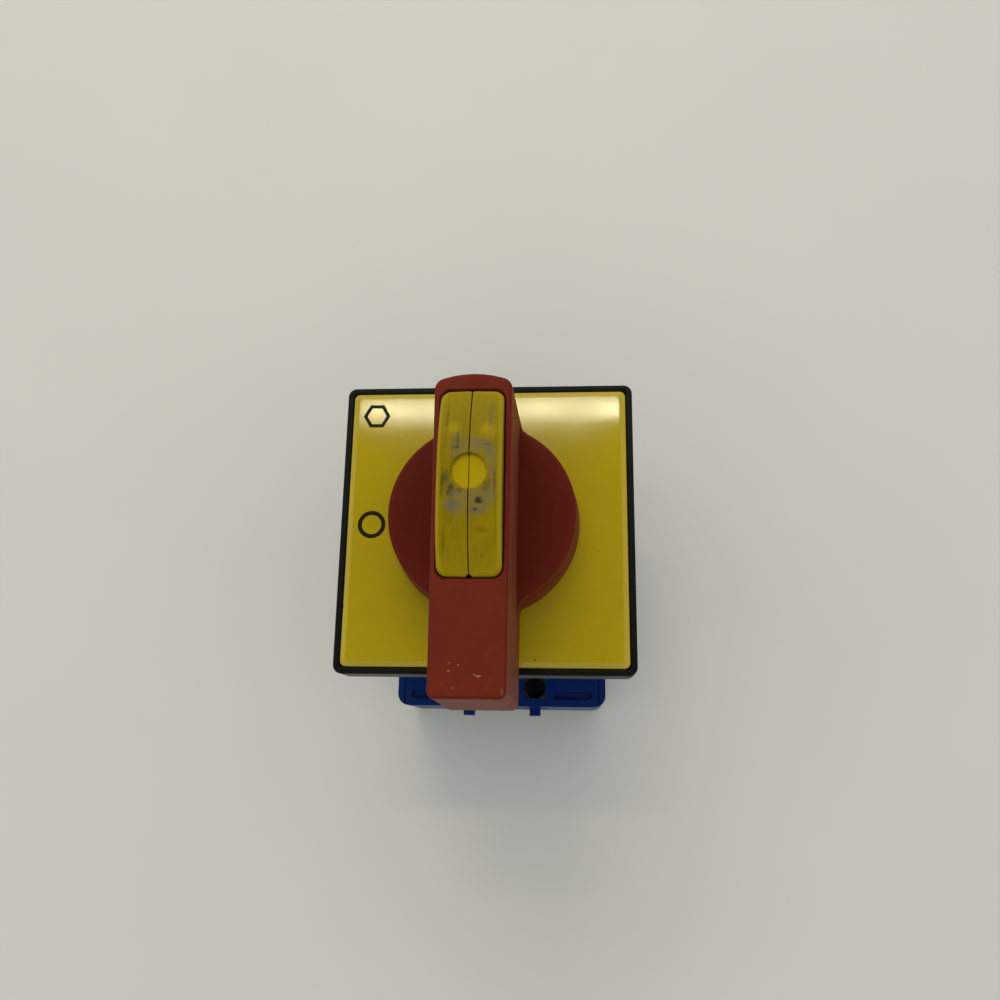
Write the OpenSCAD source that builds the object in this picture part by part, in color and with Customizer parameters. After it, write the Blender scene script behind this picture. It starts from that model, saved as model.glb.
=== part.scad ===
// Panel-mounted rotary isolator switch with a padlockable handle.
// +Z runs along the drive shaft from the rear cover to the handle, and the origin is the centre
// of the rear face. +Y is the "on" position at twelve o'clock, and -X is "off" at nine o'clock.

/* [Escutcheon] */
// Side of the square escutcheon frame
plate_side = 64; // [62:1:80]
// Depth of the frame from its rim to its rear face
frame_depth = 9; // [8:0.5:12]
// Width of the rim round the legend plate
rim_w = 1.4; // [1:0.1:2.5]
// Outer corner radius of the frame
frame_corner_r = 1.9; // [1:0.1:4]
// Thickness of the frame's floor
frame_floor_t = 3; // [2:0.5:4]
// Height of the legend plate above the rim
legend_rise = 0.8; // [0.4:0.1:1.5]
// Width of the sloping shoulder round the legend plate
legend_shoulder = 1.1; // [0.8:0.1:3]
// Thickness of the legend plate
legend_t = 1.6; // [1.2:0.1:2.4]
// Outer diameter of the ring that marks "off"
off_ring_d = 6.1; // [4:0.1:8]
// Line width of the printed marks
mark_line = 0.9; // [0.5:0.1:1.2]
// Distance of the marks from the shaft
mark_reach = 25; // [24:0.5:27]
// Centre distance of the four panel fixing holes, both ways
fixing_pitch = 48; // [46:1:50]
// Diameter of the panel fixing holes
fixing_d = 4.5; // [4:0.1:5.5]

/* [Handle] */
// Radius of the hub disc at its top edge
hub_r = 19.5; // [18:0.1:22]
// Height of the hub disc's top above the rim
hub_top = 11.2; // [9:0.1:13]
// Height of the grip bar's top above the rim
bar_top = 31; // [28:0.5:37]
// Height of the grip bar's underside above the rim
bar_bottom = 2.5; // [2:0.5:4]
// Wall of the grip bar on each side of the lock slide's slot
slot_wall = 1.3; // [1:0.1:2.5]
// Wall of the grip bar between the slot and the arched short end
nose_wall = 3.5; // [3:0.1:8]
// How much narrower the grip bar's top is at its long end
bar_taper = 0.8; // [0:0.1:1.5]
// Reach of the grip bar's straight long end
bar_long = 38.3; // [32:0.1:46]
// Outward slope of the grip bar's sides, from top to underside
bar_draft = 0.5; // [0.2:0.1:1]
// Outward slope of the grip bar's long end
bar_end_draft = 1; // [0.2:0.1:2]
// Wall of the hollow grip
grip_wall = 2; // [1.5:0.1:3]
// Radius of the fillet where the hub disc meets the bar
flare_r = 3; // [1:0.5:5]

/* [Lock slide] */
// Width of the lock slide
slide_w = 12; // [10:0.1:15]
// Reach of the lock slide towards the short end
slide_front = 19; // [16:0.1:22.5]
// Reach of the lock slide towards the long end
slide_rear = 16.8; // [14:0.1:20.5]
// Height of the lock slide's hump above the bar
hump_h = 4.4; // [3:0.1:6]
// Chamfer along the lock slide's upper edges
slide_chamfer = 1.3; // [0.5:0.1:2]
// Clearance round the lock slide in its slot
slide_gap = 0.15; // [0.1:0.05:0.3]
// Distance that the lock slide lifts
slide_lift = 12; // [10:0.5:12]
// Length of the padlock window
window_l = 22; // [14:1:24]
// Height of the padlock window
window_h = 8; // [6:0.5:8]
// Diameter of the finger dimple
dimple_d = 7.2; // [5:0.1:8]
// Distance of the finger dimple from the shaft, towards the short end
dimple_y = 1.9; // [0:0.1:4]
// Depth of the finger dimple
dimple_depth = 1; // [0.5:0.1:1.5]
// Diameter of the stop pin across the slide
stop_pin_d = 2.5; // [2:0.1:3]

/* [Drive] */
// Side of the square drive shaft
shaft_af = 7.8; // [6:0.1:9.4]
// Wall of the journals outside the corners of the drive shaft
journal_wall = 1.4; // [1:0.1:1.6]
// Radius of the handle's boss, which runs in the frame's collar
boss_r = 9.5; // [9:0.1:10.5]
// Radial clearance of every journal
running_gap = 0.08; // [0.03:0.01:0.1]
// Diameter of the handle screw
handle_screw_d = 4; // [3:0.5:4]
// Angle between the two switch positions
throw_angle = 90; // [90:1:90]

/* [Housings] */
// Width of the contact decks
deck_w = 54; // [53:1:62]
// Length of the rear deck with its terminal shoulders
rear_deck_l = 73; // [61:1:88]
// Length of the front deck
front_deck_l = 57; // [56:1:57]
// Height of one contact deck
deck_h = 20; // [20:0.5:24]
// Thickness of the rear cover
cover_t = 4; // [3.5:0.5:5]
// Outer wall of the decks
deck_wall = 2; // [1.5:0.1:2.5]
// Roof of a deck
roof_t = 1.8; // [1.5:0.1:2.5]
// Corner radius of the decks
deck_corner_r = 3; // [2:0.5:4]
// Height of the latch housing
latch_h = 18; // [16:0.5:20]
// Thickness of the mounting flange
flange_t = 3; // [2.5:0.5:4]
// Side of the mounting flange
flange_side = 60; // [58:1:62]

/* [Terminals] */
// Distance of the terminals from the middle plane
terminal_x = 8.7; // [7:0.1:9.5]
// Side of the square screwdriver hole
driver_hole = 5.8; // [5.6:0.1:6.2]
// Distance from the rear deck's end to its terminal screws
terminal_inset = 5; // [4.6:0.1:6]
// Width of a wire entry
wire_w = 6.8; // [6:0.1:7]
// Height of a wire entry
wire_h = 5.2; // [4.6:0.1:5.4]
// Diameter of a terminal screw
terminal_screw_d = 4; // [3:0.5:4]
// How far a rear peg stands out of the rear deck's end
peg_l = 2.2; // [1:0.1:4]
// Width of a rear peg
peg_w = 2.8; // [2:0.1:4]

/* [Contacts] */
// Smallest radius of a cam, where its contacts are closed
cam_r = 8.4; // [8:0.1:8.8]
// Distance that a cam lifts its contact carriers
cam_lift = 2.4; // [1.5:0.1:2.4]
// Half the distance between a bridge contact's two pads
pad_y = 11; // [10.5:0.1:11.5]
// Distance of the bridge contacts from the shaft
bridge_x = 13.2; // [13:0.1:13.6]
// Thickness of a bridge contact
bridge_t = 1.6; // [1.2:0.1:2]

/* [Fasteners] */
// Diameter of the tie bolts
tie_d = 3; // [2.5:0.5:3]
// Distance of the tie bolts from the shaft, across
tie_x = 20.5; // [20:0.1:21]
// Distance of the tie bolts from the shaft, along
tie_y = 16.5; // [16:0.1:17]

/* [Hidden] */
$fn = 64;
CUT = 1;                    // how far a cut runs past the face that it opens
SEAT = 0.1;                 // clearance of a piece that sits in a recess
THIN = 0.01;                // height of a slab that only gives a hull its outline
DRAW = 0.02;                // clearance of a mark in its pocket and of a pin in its hole
BLACK = "#1f1f22";
YELLOW = "#8c7810";
RED = "#6a2c22";
BLUE = "#12307e";
IVORY = "#d8d2c0";
STEEL = "#a9adb2";
BRASS = "#b5994e";
COPPER = "#b06a42";

rear_z = cover_t;
front_z = rear_z + deck_h;
latch_z = front_z + deck_h;
flange_z = latch_z + latch_h;
frame_z = flange_z + flange_t;
floor_z = frame_z + frame_floor_t;
rim_z = frame_z + frame_depth;
legend_z = rim_z + legend_rise;

recess_side = plate_side - 2 * rim_w;
recess_corner_r = max(frame_corner_r - rim_w / 2, 0.6);
legend_side = recess_side - 2 * SEAT;
legend_wall = 1.4;
collar_r = boss_r + 2.6;
collar_h = 3.5;
collar_bore_r = boss_r + running_gap;
legend_bore_r = collar_r + 0.5;
seal_groove_r = boss_r + 1.5;
seal_groove_h = 1.6;
seal_z = floor_z + 0.8;
gasket_w = 2.5;
gasket_inner = fixing_pitch + fixing_d + 0.5;
gasket_outer = gasket_inner + 2 * gasket_w;
gasket_t = 1;
mark_t = 0.3;

hub_z = legend_z + 0.5;
hub_top_z = rim_z + hub_top;
hub_draft = 0.7;
hub_edge = 0.8;
bar_w = slide_w + 2 * slide_gap + 2 * slot_wall;
bar_end_w = bar_w - bar_taper;
bar_short = slide_front + slide_gap + nose_wall;
bar_top_z = rim_z + bar_top;
bar_bottom_z = rim_z + bar_bottom;
bar_edge = 1;
bar_corner_r = 2;
bar_arch = 1.5;
slot_z = hub_top_z + 0.5;
boss_z = floor_z + 0.5;
boss_rib = 0.9;
screw_play = 0.4;
shaft_top_z = rim_z + 8;
shaft_bottom_z = 2.4;
web_top_z = shaft_top_z + 1.5;
screw_head_r = 3.4;
screw_head_h = 2.6;
handle_screw_l = 11;
cross_l = 4.4;
washer_r = 3.9;
washer_t = 0.6;

slide_z = slot_z + 0.5;
slide_l = slide_front + slide_rear;
slide_mid = (slide_front - slide_rear) / 2;
slide_corner_r = 2;
slide_split = 0.08;
slide_end_rise = 0.3;
slide_power = 2.6;
screw_room_r = 5;
screw_room_h = 2.6;
window_z = bar_top_z - slide_lift + 1.5;
window_y = slide_mid;
notch_side = 1.3;
stop_pin_y = -slide_rear + 3.5;
stop_pin_z = slide_z + 2.5;
stop_pin_l = slide_w + 1.2;
groove_r = stop_pin_d / 2 + 0.15;
groove_x = stop_pin_l / 2 + 0.1;

square_gap = 0.05;
square_hole = shaft_af + 2 * square_gap;
journal_r = square_hole / sqrt(2) + journal_wall;
bearing_r = journal_r + running_gap;
end_gap = 0.1;

tie_hole_r = tie_d / 2 + 0.15;
tie_boss_r = tie_d / 2 + 1.8;
tie_head_r = 2.8;
tie_head_h = 2;
tie_pocket_r = 3.05;
tie_pocket_h = 2.5;
nut_af = 5.5;
nut_r = nut_af / sqrt(3);
nut_h = 2.4;
nut_pocket_r = nut_r + 0.15;
tie_tail = 0.3;
nut_z = flange_z - nut_h - 2 * tie_tail;

latch_margin = 3.5;
latch_w = 2 * (tie_x + latch_margin);
latch_l = 2 * (tie_y + latch_margin);
latch_wall = 2;
latch_post = 7.5;
screw_boss = 1.2;
star_r = 12;
star_notch = 2;
star_z = latch_z + 2.2;
star_h = 6;
lug_z = star_z + star_h + 0.6;
lug_h = 3.4;
lug_r = 15.4;
lug_half_angle = 8;
lug_rest_angle = 225;
post_r = 1.5;
post_ring_r = 14.2;
post_gap_angle = 0.8;
plunger_r = 2.8;
plunger_tip_x = star_r + 0.3;
plunger_l = 5;
plunger_nose = 1.2;
plunger_lead = 1.5;
plunger_z = star_z + star_h / 2;
plunger_guide_gap = 0.15;
latch_spring_r = 1.9;
flange_screw_x = 10;
flange_screw_y = 16.4;
flange_screw_r = 1.5;
flange_screw_head_r = 2.8;
flange_screw_l = 9;
flange_head_h = 1.5;
flange_head_z = frame_z - flange_head_h - SEAT;
driver_slot = 0.9;

rear_terminal_y = rear_deck_l / 2 - terminal_inset;
front_terminal_y = front_deck_l / 2 - terminal_inset;
strip_z = 5;
strip_t = 1.5;
strip_gap = 0.2;
pad_t = 0.8;
pad_r = 2;
tab_t = 1.4;
tab_x = bridge_x - pad_t - tab_t;
tab_h = 6;
tab_l = 6;
cage_w = 9;
cage_l = 5.6;
cage_wall = 1;
strip_w = cage_w - 2 * cage_wall - 2 * strip_gap;
strip_start_y = pad_y + 1;
strip_foot_l = 2;
cage_z = 3;
cage_top_t = 2;
wire_z = strip_z + strip_t;
cage_head_gap = 0.3;
cage_h = wire_z + wire_h + cage_head_gap + cage_top_t - cage_z;
terminal_head_r = 2.6;
terminal_head_h = 2.2;
peg_h = 3.2;
peg_z = 13;
slot_mark_w = 10;
slot_mark_h = 2.2;
slot_mark_x = 18.6;
slot_mark_inset = 2.95;
slot_mark_depth = 1;
side_groove_w = 0.3;
side_groove_x = deck_w / 2 - 1.8;

cover_bearing_h = 2;
cam_z = 4;
cam_t = 5;
carrier_z = 2.5;
carrier_h = 9;
carrier_w = 8;
nose_gap = 0.25;
nose_w = 5;
nose_taper = 1.5;
carrier_wall = 1.6;
carrier_end_x = 20;
bridge_z = 4.5;
bridge_h = 5;
window_x = bridge_x - 0.3;
window_end_x = 18.4;
window_gap = 0.2;
bridge_half_l = pad_y + 2;
rail_gap = 0.2;
rail_w = 1.2;
rail_l = 3;

wire_r = 0.3;
contact_spring_r = 2;
return_spring_r = 2.8;
SPRING_TURNS = 4;
SPRING_SIDES = 6;
SPRING_STEPS = 12;

// ---- shared shapes ----

// Rectangle with true round corners, centred on the origin
module rounded_rect(w, l, r) {
    square([w - 2 * r, l], center = true);
    square([w, l - 2 * r], center = true);
    for (x = [-1, 1], y = [-1, 1])
        translate([x * (w / 2 - r), y * (l / 2 - r)]) circle(r);
}

// A box given by its low corner and its high corner
module block(low, high) {
    translate(low) cube(high - low);
}

// Four copies at (+-x, +-y)
module at_corners(x, y) {
    for (i = [-1, 1], j = [-1, 1]) translate([i * x, j * y, 0]) children();
}

// The right-hand copy of a shape, or its mirror image on the left
module on_side(right) {
    if (right) children();
    else mirror([1, 0, 0]) children();
}

// Points of a ring of the spring wire at step i of a helix along +X
function spring_ring(r, length, turns, i) =
    let (a = 360 * i / SPRING_STEPS, x = wire_r + (length - 2 * wire_r) * i / (turns * SPRING_STEPS))
    [for (k = [0 : SPRING_SIDES - 1])
        let (b = 360 * k / SPRING_SIDES, s = r - wire_r + wire_r * cos(b))
        [x + wire_r * sin(b), s * cos(a), s * sin(a)]];

// Compression spring along +X from the origin
module coil_spring(r, length, turns) {
    steps = turns * SPRING_STEPS;
    points = [for (i = [0 : steps]) each spring_ring(r, length, turns, i)];
    sides = [for (i = [0 : steps - 1], k = [0 : SPRING_SIDES - 1])
        let (a = i * SPRING_SIDES + k, b = i * SPRING_SIDES + (k + 1) % SPRING_SIDES)
        [a, a + SPRING_SIDES, b + SPRING_SIDES, b]];
    start = [for (k = [0 : SPRING_SIDES - 1]) k];
    end = [for (k = [SPRING_SIDES - 1 : -1 : 0]) steps * SPRING_SIDES + k];
    polyhedron(points = points, faces = concat(sides, [start, end]), convexity = 10);
}

// ---- escutcheon ----

module escutcheon_frame() {
    color(BLACK) difference() {
        union() {
            difference() {
                translate([0, 0, frame_z]) linear_extrude(frame_depth)
                    rounded_rect(plate_side, plate_side, frame_corner_r);
                translate([0, 0, floor_z]) linear_extrude(frame_depth)
                    rounded_rect(recess_side, recess_side, recess_corner_r);
            }
            translate([0, 0, floor_z]) cylinder(r = collar_r, h = collar_h);
        }
        translate([0, 0, frame_z - CUT]) cylinder(r = collar_bore_r, h = frame_depth + CUT);
        translate([0, 0, seal_z]) cylinder(r = seal_groove_r, h = seal_groove_h);
        translate([0, 0, frame_z - CUT]) linear_extrude(gasket_t + CUT) gasket_outline(0);
        at_corners(fixing_pitch / 2, fixing_pitch / 2)
            translate([0, 0, frame_z - CUT]) cylinder(d = fixing_d, h = frame_floor_t + 2 * CUT);
    }
}

// Square ring of the gasket, grown by a negative or shrunk by a positive gap
module gasket_outline(gap) {
    difference() {
        square(gasket_outer - 2 * gap, center = true);
        square(gasket_inner + 2 * gap, center = true);
    }
}

module panel_gasket() {
    color(BLACK) translate([0, 0, frame_z]) linear_extrude(gasket_t) gasket_outline(SEAT);
}

module shaft_seal() {
    color(BLACK) translate([0, 0, seal_z + SEAT / 2]) difference() {
        cylinder(r = seal_groove_r - SEAT / 2, h = seal_groove_h - SEAT);
        translate([0, 0, -CUT]) cylinder(r = boss_r + 0.12, h = seal_groove_h + 2 * CUT);
    }
}

module legend_plate() {
    color(YELLOW) difference() {
        hull() {
            translate([0, 0, floor_z]) linear_extrude(rim_z - floor_z)
                rounded_rect(legend_side, legend_side, recess_corner_r);
            translate([0, 0, rim_z]) linear_extrude(legend_rise)
                rounded_rect(legend_side - 2 * legend_shoulder, legend_side - 2 * legend_shoulder,
                             recess_corner_r);
        }
        translate([0, 0, floor_z - CUT]) linear_extrude(legend_z - legend_t - floor_z + CUT)
            square(legend_side - 2 * legend_wall, center = true);
        translate([0, 0, floor_z]) cylinder(r = legend_bore_r, h = frame_depth);
        translate([0, 0, legend_z - mark_t]) linear_extrude(mark_t + CUT) mark_outlines(0);
    }
}

module ring_outline(outer_r, line, gap) {
    difference() {
        circle(outer_r - gap);
        circle(outer_r - line + gap);
    }
}

// Off ring at nine o'clock, on bar at twelve, and a plain hexagon in the corner
module mark_outlines(gap) {
    translate([-mark_reach, 0]) ring_outline(off_ring_d / 2, mark_line, gap);
    translate([0, mark_reach]) square([mark_line - 2 * gap, off_ring_d - 2 * gap], center = true);
    translate([-mark_reach, mark_reach]) difference() {
        circle(off_ring_d / 2 - gap, $fn = 6);
        circle(off_ring_d / 2 - mark_line + gap, $fn = 6);
    }
}

module legend_marks() {
    color(BLACK) translate([0, 0, legend_z - mark_t]) linear_extrude(mark_t) mark_outlines(DRAW);
}

// ---- handle ----

// Plan of the grip bar: arched short end, straight long end
module bar_outline(grow, end_grow) {
    w = bar_w / 2 + grow - bar_corner_r;
    end_w = bar_end_w / 2 + grow - bar_corner_r;
    r = bar_corner_r;
    hull() {
        for (t = [-1 : 0.25 : 1])
            translate([t * w, bar_short + grow - r - bar_arch * t * t]) circle(r, $fn = 32);
        for (s = [-1, 1]) translate([s * end_w, -bar_long - end_grow + r]) circle(r, $fn = 32);
    }
}

module bar_slab(z, grow, end_grow) {
    translate([0, 0, z]) linear_extrude(THIN) bar_outline(grow, end_grow);
}

module grip_bar() {
    hull() {
        bar_slab(bar_bottom_z, bar_draft, bar_end_draft);
        for (a = [0, 45, 90]) {
            inset = bar_edge * (1 - cos(a));
            bar_slab(bar_top_z - bar_edge * (1 - sin(a)) - THIN, -inset, -inset);
        }
    }
}

module hub_disc() {
    rotate_extrude($fn = 128) polygon([
        [0, hub_z], [hub_r + hub_draft, hub_z], [hub_r + hub_draft, hub_z + 1],
        [hub_r, hub_top_z - hub_edge], [hub_r - hub_edge, hub_top_z], [0, hub_top_z]
    ]);
}

// Web in the corner between the disc and the bar's side, bounded by a round fillet
module flare_outline() {
    x = bar_w / 2 + flare_r;
    y = sqrt(pow(hub_r + flare_r, 2) - x * x);
    reach = atan2(y, x);
    arc = [for (i = [0 : 8]) let (a = 180 + reach * i / 8) [x + flare_r * cos(a), y + flare_r * sin(a)]];
    polygon(concat([[0, y * 0.6], [0, y]], arc));
}

module flares() {
    for (i = [0, 1], j = [0, 1])
        mirror([i, 0, 0]) mirror([0, j, 0]) translate([0, 0, hub_z])
            linear_extrude(hub_top_z - hub_edge - hub_z) flare_outline();
}

// Plan of the lock slide's slot
module slot_outline(gap) {
    translate([0, slide_mid]) rounded_rect(slide_w + 2 * gap, slide_l + 2 * gap, slide_corner_r);
}

module handle() {
    color(RED) difference() {
        union() {
            hub_disc();
            flares();
            grip_bar();
            translate([0, 0, boss_z]) cylinder(r = boss_r, h = hub_top_z - boss_z);
        }
        translate([0, 0, slot_z]) linear_extrude(bar_top_z) slot_outline(slide_gap);
        grip_hollow();
        hub_hollow();
        block([-square_hole / 2, -square_hole / 2, boss_z - CUT],
              [square_hole / 2, square_hole / 2, shaft_top_z + SEAT]);
        translate([0, 0, shaft_top_z - CUT])
            cylinder(d = handle_screw_d + screw_play, h = slot_z - shaft_top_z);
        translate([0, 0, web_top_z]) cylinder(r = screw_room_r, h = slot_z - web_top_z + CUT);
        for (s = [-1, 1]) stop_groove(s);
    }
}

// Room inside the long end of the grip, open below
module grip_hollow() {
    x = bar_end_w / 2 - grip_wall;
    high_y = min(-slide_rear - slide_gap - grip_wall, -hub_r - hub_draft);
    block([-x, -bar_long + grip_wall, rim_z], [x, high_y, bar_top_z - grip_wall]);
}

// Ring-shaped room between the hub's wall and the boss, open below
module hub_hollow() {
    difference() {
        translate([0, 0, hub_z - CUT])
            cylinder(r = hub_r - grip_wall, h = hub_top_z - grip_wall - hub_z + CUT);
        translate([0, 0, hub_z - 2 * CUT]) cylinder(r = boss_r + boss_rib, h = hub_top_z);
    }
}

// Blind groove in the slot's side wall, where the stop pin travels
module stop_groove(side) {
    low = stop_pin_z;
    high = stop_pin_z + slide_lift;
    translate([side * groove_x / 2, stop_pin_y, 0]) {
        for (z = [low, high])
            translate([0, 0, z]) rotate([0, 90, 0]) cylinder(r = groove_r, h = groove_x, center = true);
        translate([0, 0, (low + high) / 2]) cube([groove_x, 2 * groove_r, high - low], center = true);
    }
}

module handle_washer() {
    color(STEEL) translate([0, 0, web_top_z]) difference() {
        cylinder(r = washer_r, h = washer_t);
        translate([0, 0, -CUT]) cylinder(d = handle_screw_d + screw_play, h = washer_t + 2 * CUT);
    }
}

module handle_screw() {
    z = web_top_z + washer_t;
    color(STEEL) difference() {
        union() {
            translate([0, 0, z]) cylinder(r = screw_head_r, h = screw_head_h);
            translate([0, 0, z - handle_screw_l]) cylinder(d = handle_screw_d, h = handle_screw_l);
        }
        for (a = [0, 90]) translate([0, 0, z + screw_head_h]) rotate([0, 0, a])
            cube([driver_slot, cross_l, screw_head_h], center = true);
    }
}

// ---- lock slide ----

// Height of the slide's top above the bar at distance y along it
function hump(y) = slide_end_rise + hump_h * (1 - pow(abs(y - slide_mid) / (slide_l / 2), slide_power));

// Side view of the slide, lowered by the chamfer and shortened at its ends
module slide_profile(drop, inset) {
    low = -slide_rear + inset;
    high = slide_front - inset;
    top = [for (i = [0 : 24]) let (y = high + (low - high) * i / 24) [y, bar_top_z - drop + hump(y)]];
    polygon(concat([[low, slide_z], [high, slide_z]], top));
}

module slide_slab(half_w, drop, inset) {
    rotate([90, 0, 90]) translate([0, 0, -half_w]) linear_extrude(2 * half_w) slide_profile(drop, inset);
}

module slide_body() {
    difference() {
        intersection() {
            hull() {
                slide_slab(slide_w / 2, slide_chamfer, 0);
                slide_slab(slide_w / 2 - slide_chamfer, 0, slide_chamfer * 0.4);
            }
            translate([0, 0, slide_z]) linear_extrude(bar_top_z) slot_outline(0);
        }
        padlock_window();
        translate([0, dimple_y, bar_top_z + hump(dimple_y) - dimple_depth])
            cylinder(d = dimple_d, h = 2 * CUT);
        translate([0, 0, slide_z - CUT]) cylinder(r = screw_room_r, h = screw_room_h + CUT);
        translate([0, stop_pin_y, stop_pin_z]) rotate([0, 90, 0])
            cylinder(d = stop_pin_d + 2 * DRAW, h = slide_w + CUT, center = true);
        for (y = [-slide_rear, slide_front]) translate([0, y, bar_top_z])
            rotate([0, 0, 45]) cube([notch_side, notch_side, 2 * hump_h], center = true);
    }
}

// Obround hole through the slide, from side to side
module padlock_window() {
    r = window_h / 2;
    flat = window_l / 2 - r;
    translate([0, window_y, window_z + r]) rotate([90, 0, 90]) {
        for (s = [-1, 1]) translate([s * flat, 0, 0]) cylinder(r = r, h = slide_w + CUT, center = true);
        cube([2 * flat, window_h, slide_w + CUT], center = true);
    }
}

module slide_half(right) {
    color(YELLOW) intersection() {
        slide_body();
        on_side(right)
            block([slide_split, -slide_rear - CUT, 0],
                  [slide_w, slide_front + CUT, bar_top_z + 2 * hump_h]);
    }
}

module lock_slide_left() slide_half(false);
module lock_slide_right() slide_half(true);

module lock_stop_pin() {
    color(STEEL) translate([0, stop_pin_y, stop_pin_z]) rotate([0, 90, 0])
        cylinder(d = stop_pin_d, h = stop_pin_l, center = true);
}

// ---- flange and latch ----

module mounting_flange() {
    color(BLACK) difference() {
        translate([0, 0, flange_z]) linear_extrude(flange_t)
            rounded_rect(flange_side, flange_side, deck_corner_r);
        translate([0, 0, flange_z - CUT]) cylinder(r = bearing_r, h = flange_t + 2 * CUT);
        at_corners(fixing_pitch / 2, fixing_pitch / 2)
            translate([0, 0, flange_z - CUT]) cylinder(d = fixing_d, h = flange_t + 2 * CUT);
        at_corners(flange_screw_x, flange_screw_y) {
            translate([0, 0, flange_z - CUT])
                cylinder(r = flange_screw_r + SEAT, h = flange_t + 2 * CUT);
            translate([0, 0, flange_head_z - SEAT])
                cylinder(r = flange_screw_head_r + SEAT, h = flange_head_h + SEAT + CUT);
        }
    }
}

module flange_screws() {
    color(STEEL) at_corners(flange_screw_x, flange_screw_y) difference() {
        union() {
            translate([0, 0, flange_head_z]) cylinder(r = flange_screw_head_r, h = flange_head_h);
            translate([0, 0, flange_head_z - flange_screw_l])
                cylinder(r = flange_screw_r, h = flange_screw_l);
        }
        translate([0, 0, flange_head_z + flange_head_h])
            cube([driver_slot, 2 * flange_screw_head_r, flange_head_h], center = true);
    }
}

// Solid block with the outline of the latch housing
module latch_block() {
    translate([0, 0, latch_z]) linear_extrude(latch_h)
        rounded_rect(latch_w, latch_l, deck_corner_r);
}

module latch_housing() {
    color(BLACK) difference() {
        union() {
            difference() {
                latch_block();
                translate([0, 0, latch_z + roof_t]) linear_extrude(latch_h)
                    square([latch_w - 2 * latch_wall, latch_l - 2 * latch_wall], center = true);
            }
            intersection() {
                latch_block();
                at_corners(latch_w / 2, latch_l / 2) translate([0, 0, latch_z + latch_h / 2])
                    cube([2 * latch_post, 2 * latch_post, latch_h], center = true);
            }
            at_corners(flange_screw_x, flange_screw_y)
                translate([0, 0, latch_z]) cylinder(r = flange_screw_r + screw_boss, h = latch_h);
            for (i = [-1, 1], j = [-1, 1]) latch_guide(i, j);
            for (a = stop_angles())
                translate([post_ring_r * cos(a), post_ring_r * sin(a), latch_z])
                    cylinder(r = post_r, h = lug_z + lug_h - latch_z);
        }
        translate([0, 0, latch_z - CUT]) cylinder(r = bearing_r, h = roof_t + 2 * CUT);
        at_corners(tie_x, tie_y) {
            translate([0, 0, latch_z - CUT]) cylinder(r = tie_hole_r, h = latch_h + 2 * CUT);
            translate([0, 0, nut_z]) cylinder(r = nut_pocket_r, h = latch_h, $fn = 6);
        }
        at_corners(flange_screw_x, flange_screw_y)
            translate([0, 0, flange_z - flange_screw_l]) cylinder(r = flange_screw_r, h = latch_h);
    }
}

// Angles of the two posts that stop the rotor's lug at the ends of its throw
function stop_angles() =
    let (reach = lug_half_angle + asin(post_r / post_ring_r) + post_gap_angle)
    [lug_rest_angle - reach, lug_rest_angle + throw_angle + reach];

// Rail beside a detent plunger, on the floor and the side wall
module latch_guide(i, j) {
    start_x = plunger_tip_x + plunger_lead;
    end_x = latch_w / 2 - latch_wall + SEAT;
    top_z = star_z + star_h;
    y = plunger_r + plunger_guide_gap + rail_w / 2;
    translate([i * (start_x + end_x) / 2, j * y, (latch_z + top_z) / 2])
        cube([end_x - start_x, rail_w, top_z - latch_z], center = true);
}

// Outline of the star wheel: four notches at right angles
function star_point(a) =
    let (t = pow(abs(cos(2 * a)), 8), r = star_r - star_notch * t) [r * cos(a), r * sin(a)];

module latch_rotor() {
    color(IVORY) difference() {
        union() {
            translate([0, 0, latch_z + end_gap])
                cylinder(r = journal_r, h = frame_z - latch_z - 2 * end_gap);
            translate([0, 0, star_z]) linear_extrude(star_h)
                polygon([for (i = [0 : 119]) star_point(3 * i)]);
            intersection() {
                translate([0, 0, lug_z]) cylinder(r = lug_r, h = lug_h);
                rotate([0, 0, lug_rest_angle]) translate([0, 0, lug_z]) linear_extrude(lug_h)
                    polygon([[0, 0], [2 * lug_r, -2 * lug_r * tan(lug_half_angle)],
                             [2 * lug_r, 2 * lug_r * tan(lug_half_angle)]]);
            }
        }
        translate([0, 0, latch_z]) cube([square_hole, square_hole, 3 * latch_h], center = true);
    }
}

module detent_plungers() {
    color(IVORY) for (s = [-1, 1]) on_side(s > 0) translate([plunger_tip_x, 0, plunger_z]) {
        translate([plunger_nose, 0, 0]) rotate([0, 90, 0])
            cylinder(r = plunger_r, h = plunger_l - plunger_nose);
        rotate([0, 90, 0]) cylinder(r1 = plunger_nose, r2 = plunger_r, h = plunger_nose);
    }
}

module detent_springs() {
    x = plunger_tip_x + plunger_l;
    color(STEEL) for (s = [-1, 1]) on_side(s > 0) translate([x, 0, plunger_z])
        coil_spring(latch_spring_r, latch_w / 2 - latch_wall - x, SPRING_TURNS);
}

module drive_shaft() {
    color(STEEL) difference() {
        translate([0, 0, (shaft_bottom_z + shaft_top_z) / 2])
            cube([shaft_af, shaft_af, shaft_top_z - shaft_bottom_z], center = true);
        translate([0, 0, web_top_z + washer_t - handle_screw_l - SEAT])
            cylinder(d = handle_screw_d, h = handle_screw_l + CUT);
    }
}

// ---- contact decks ----

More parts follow.
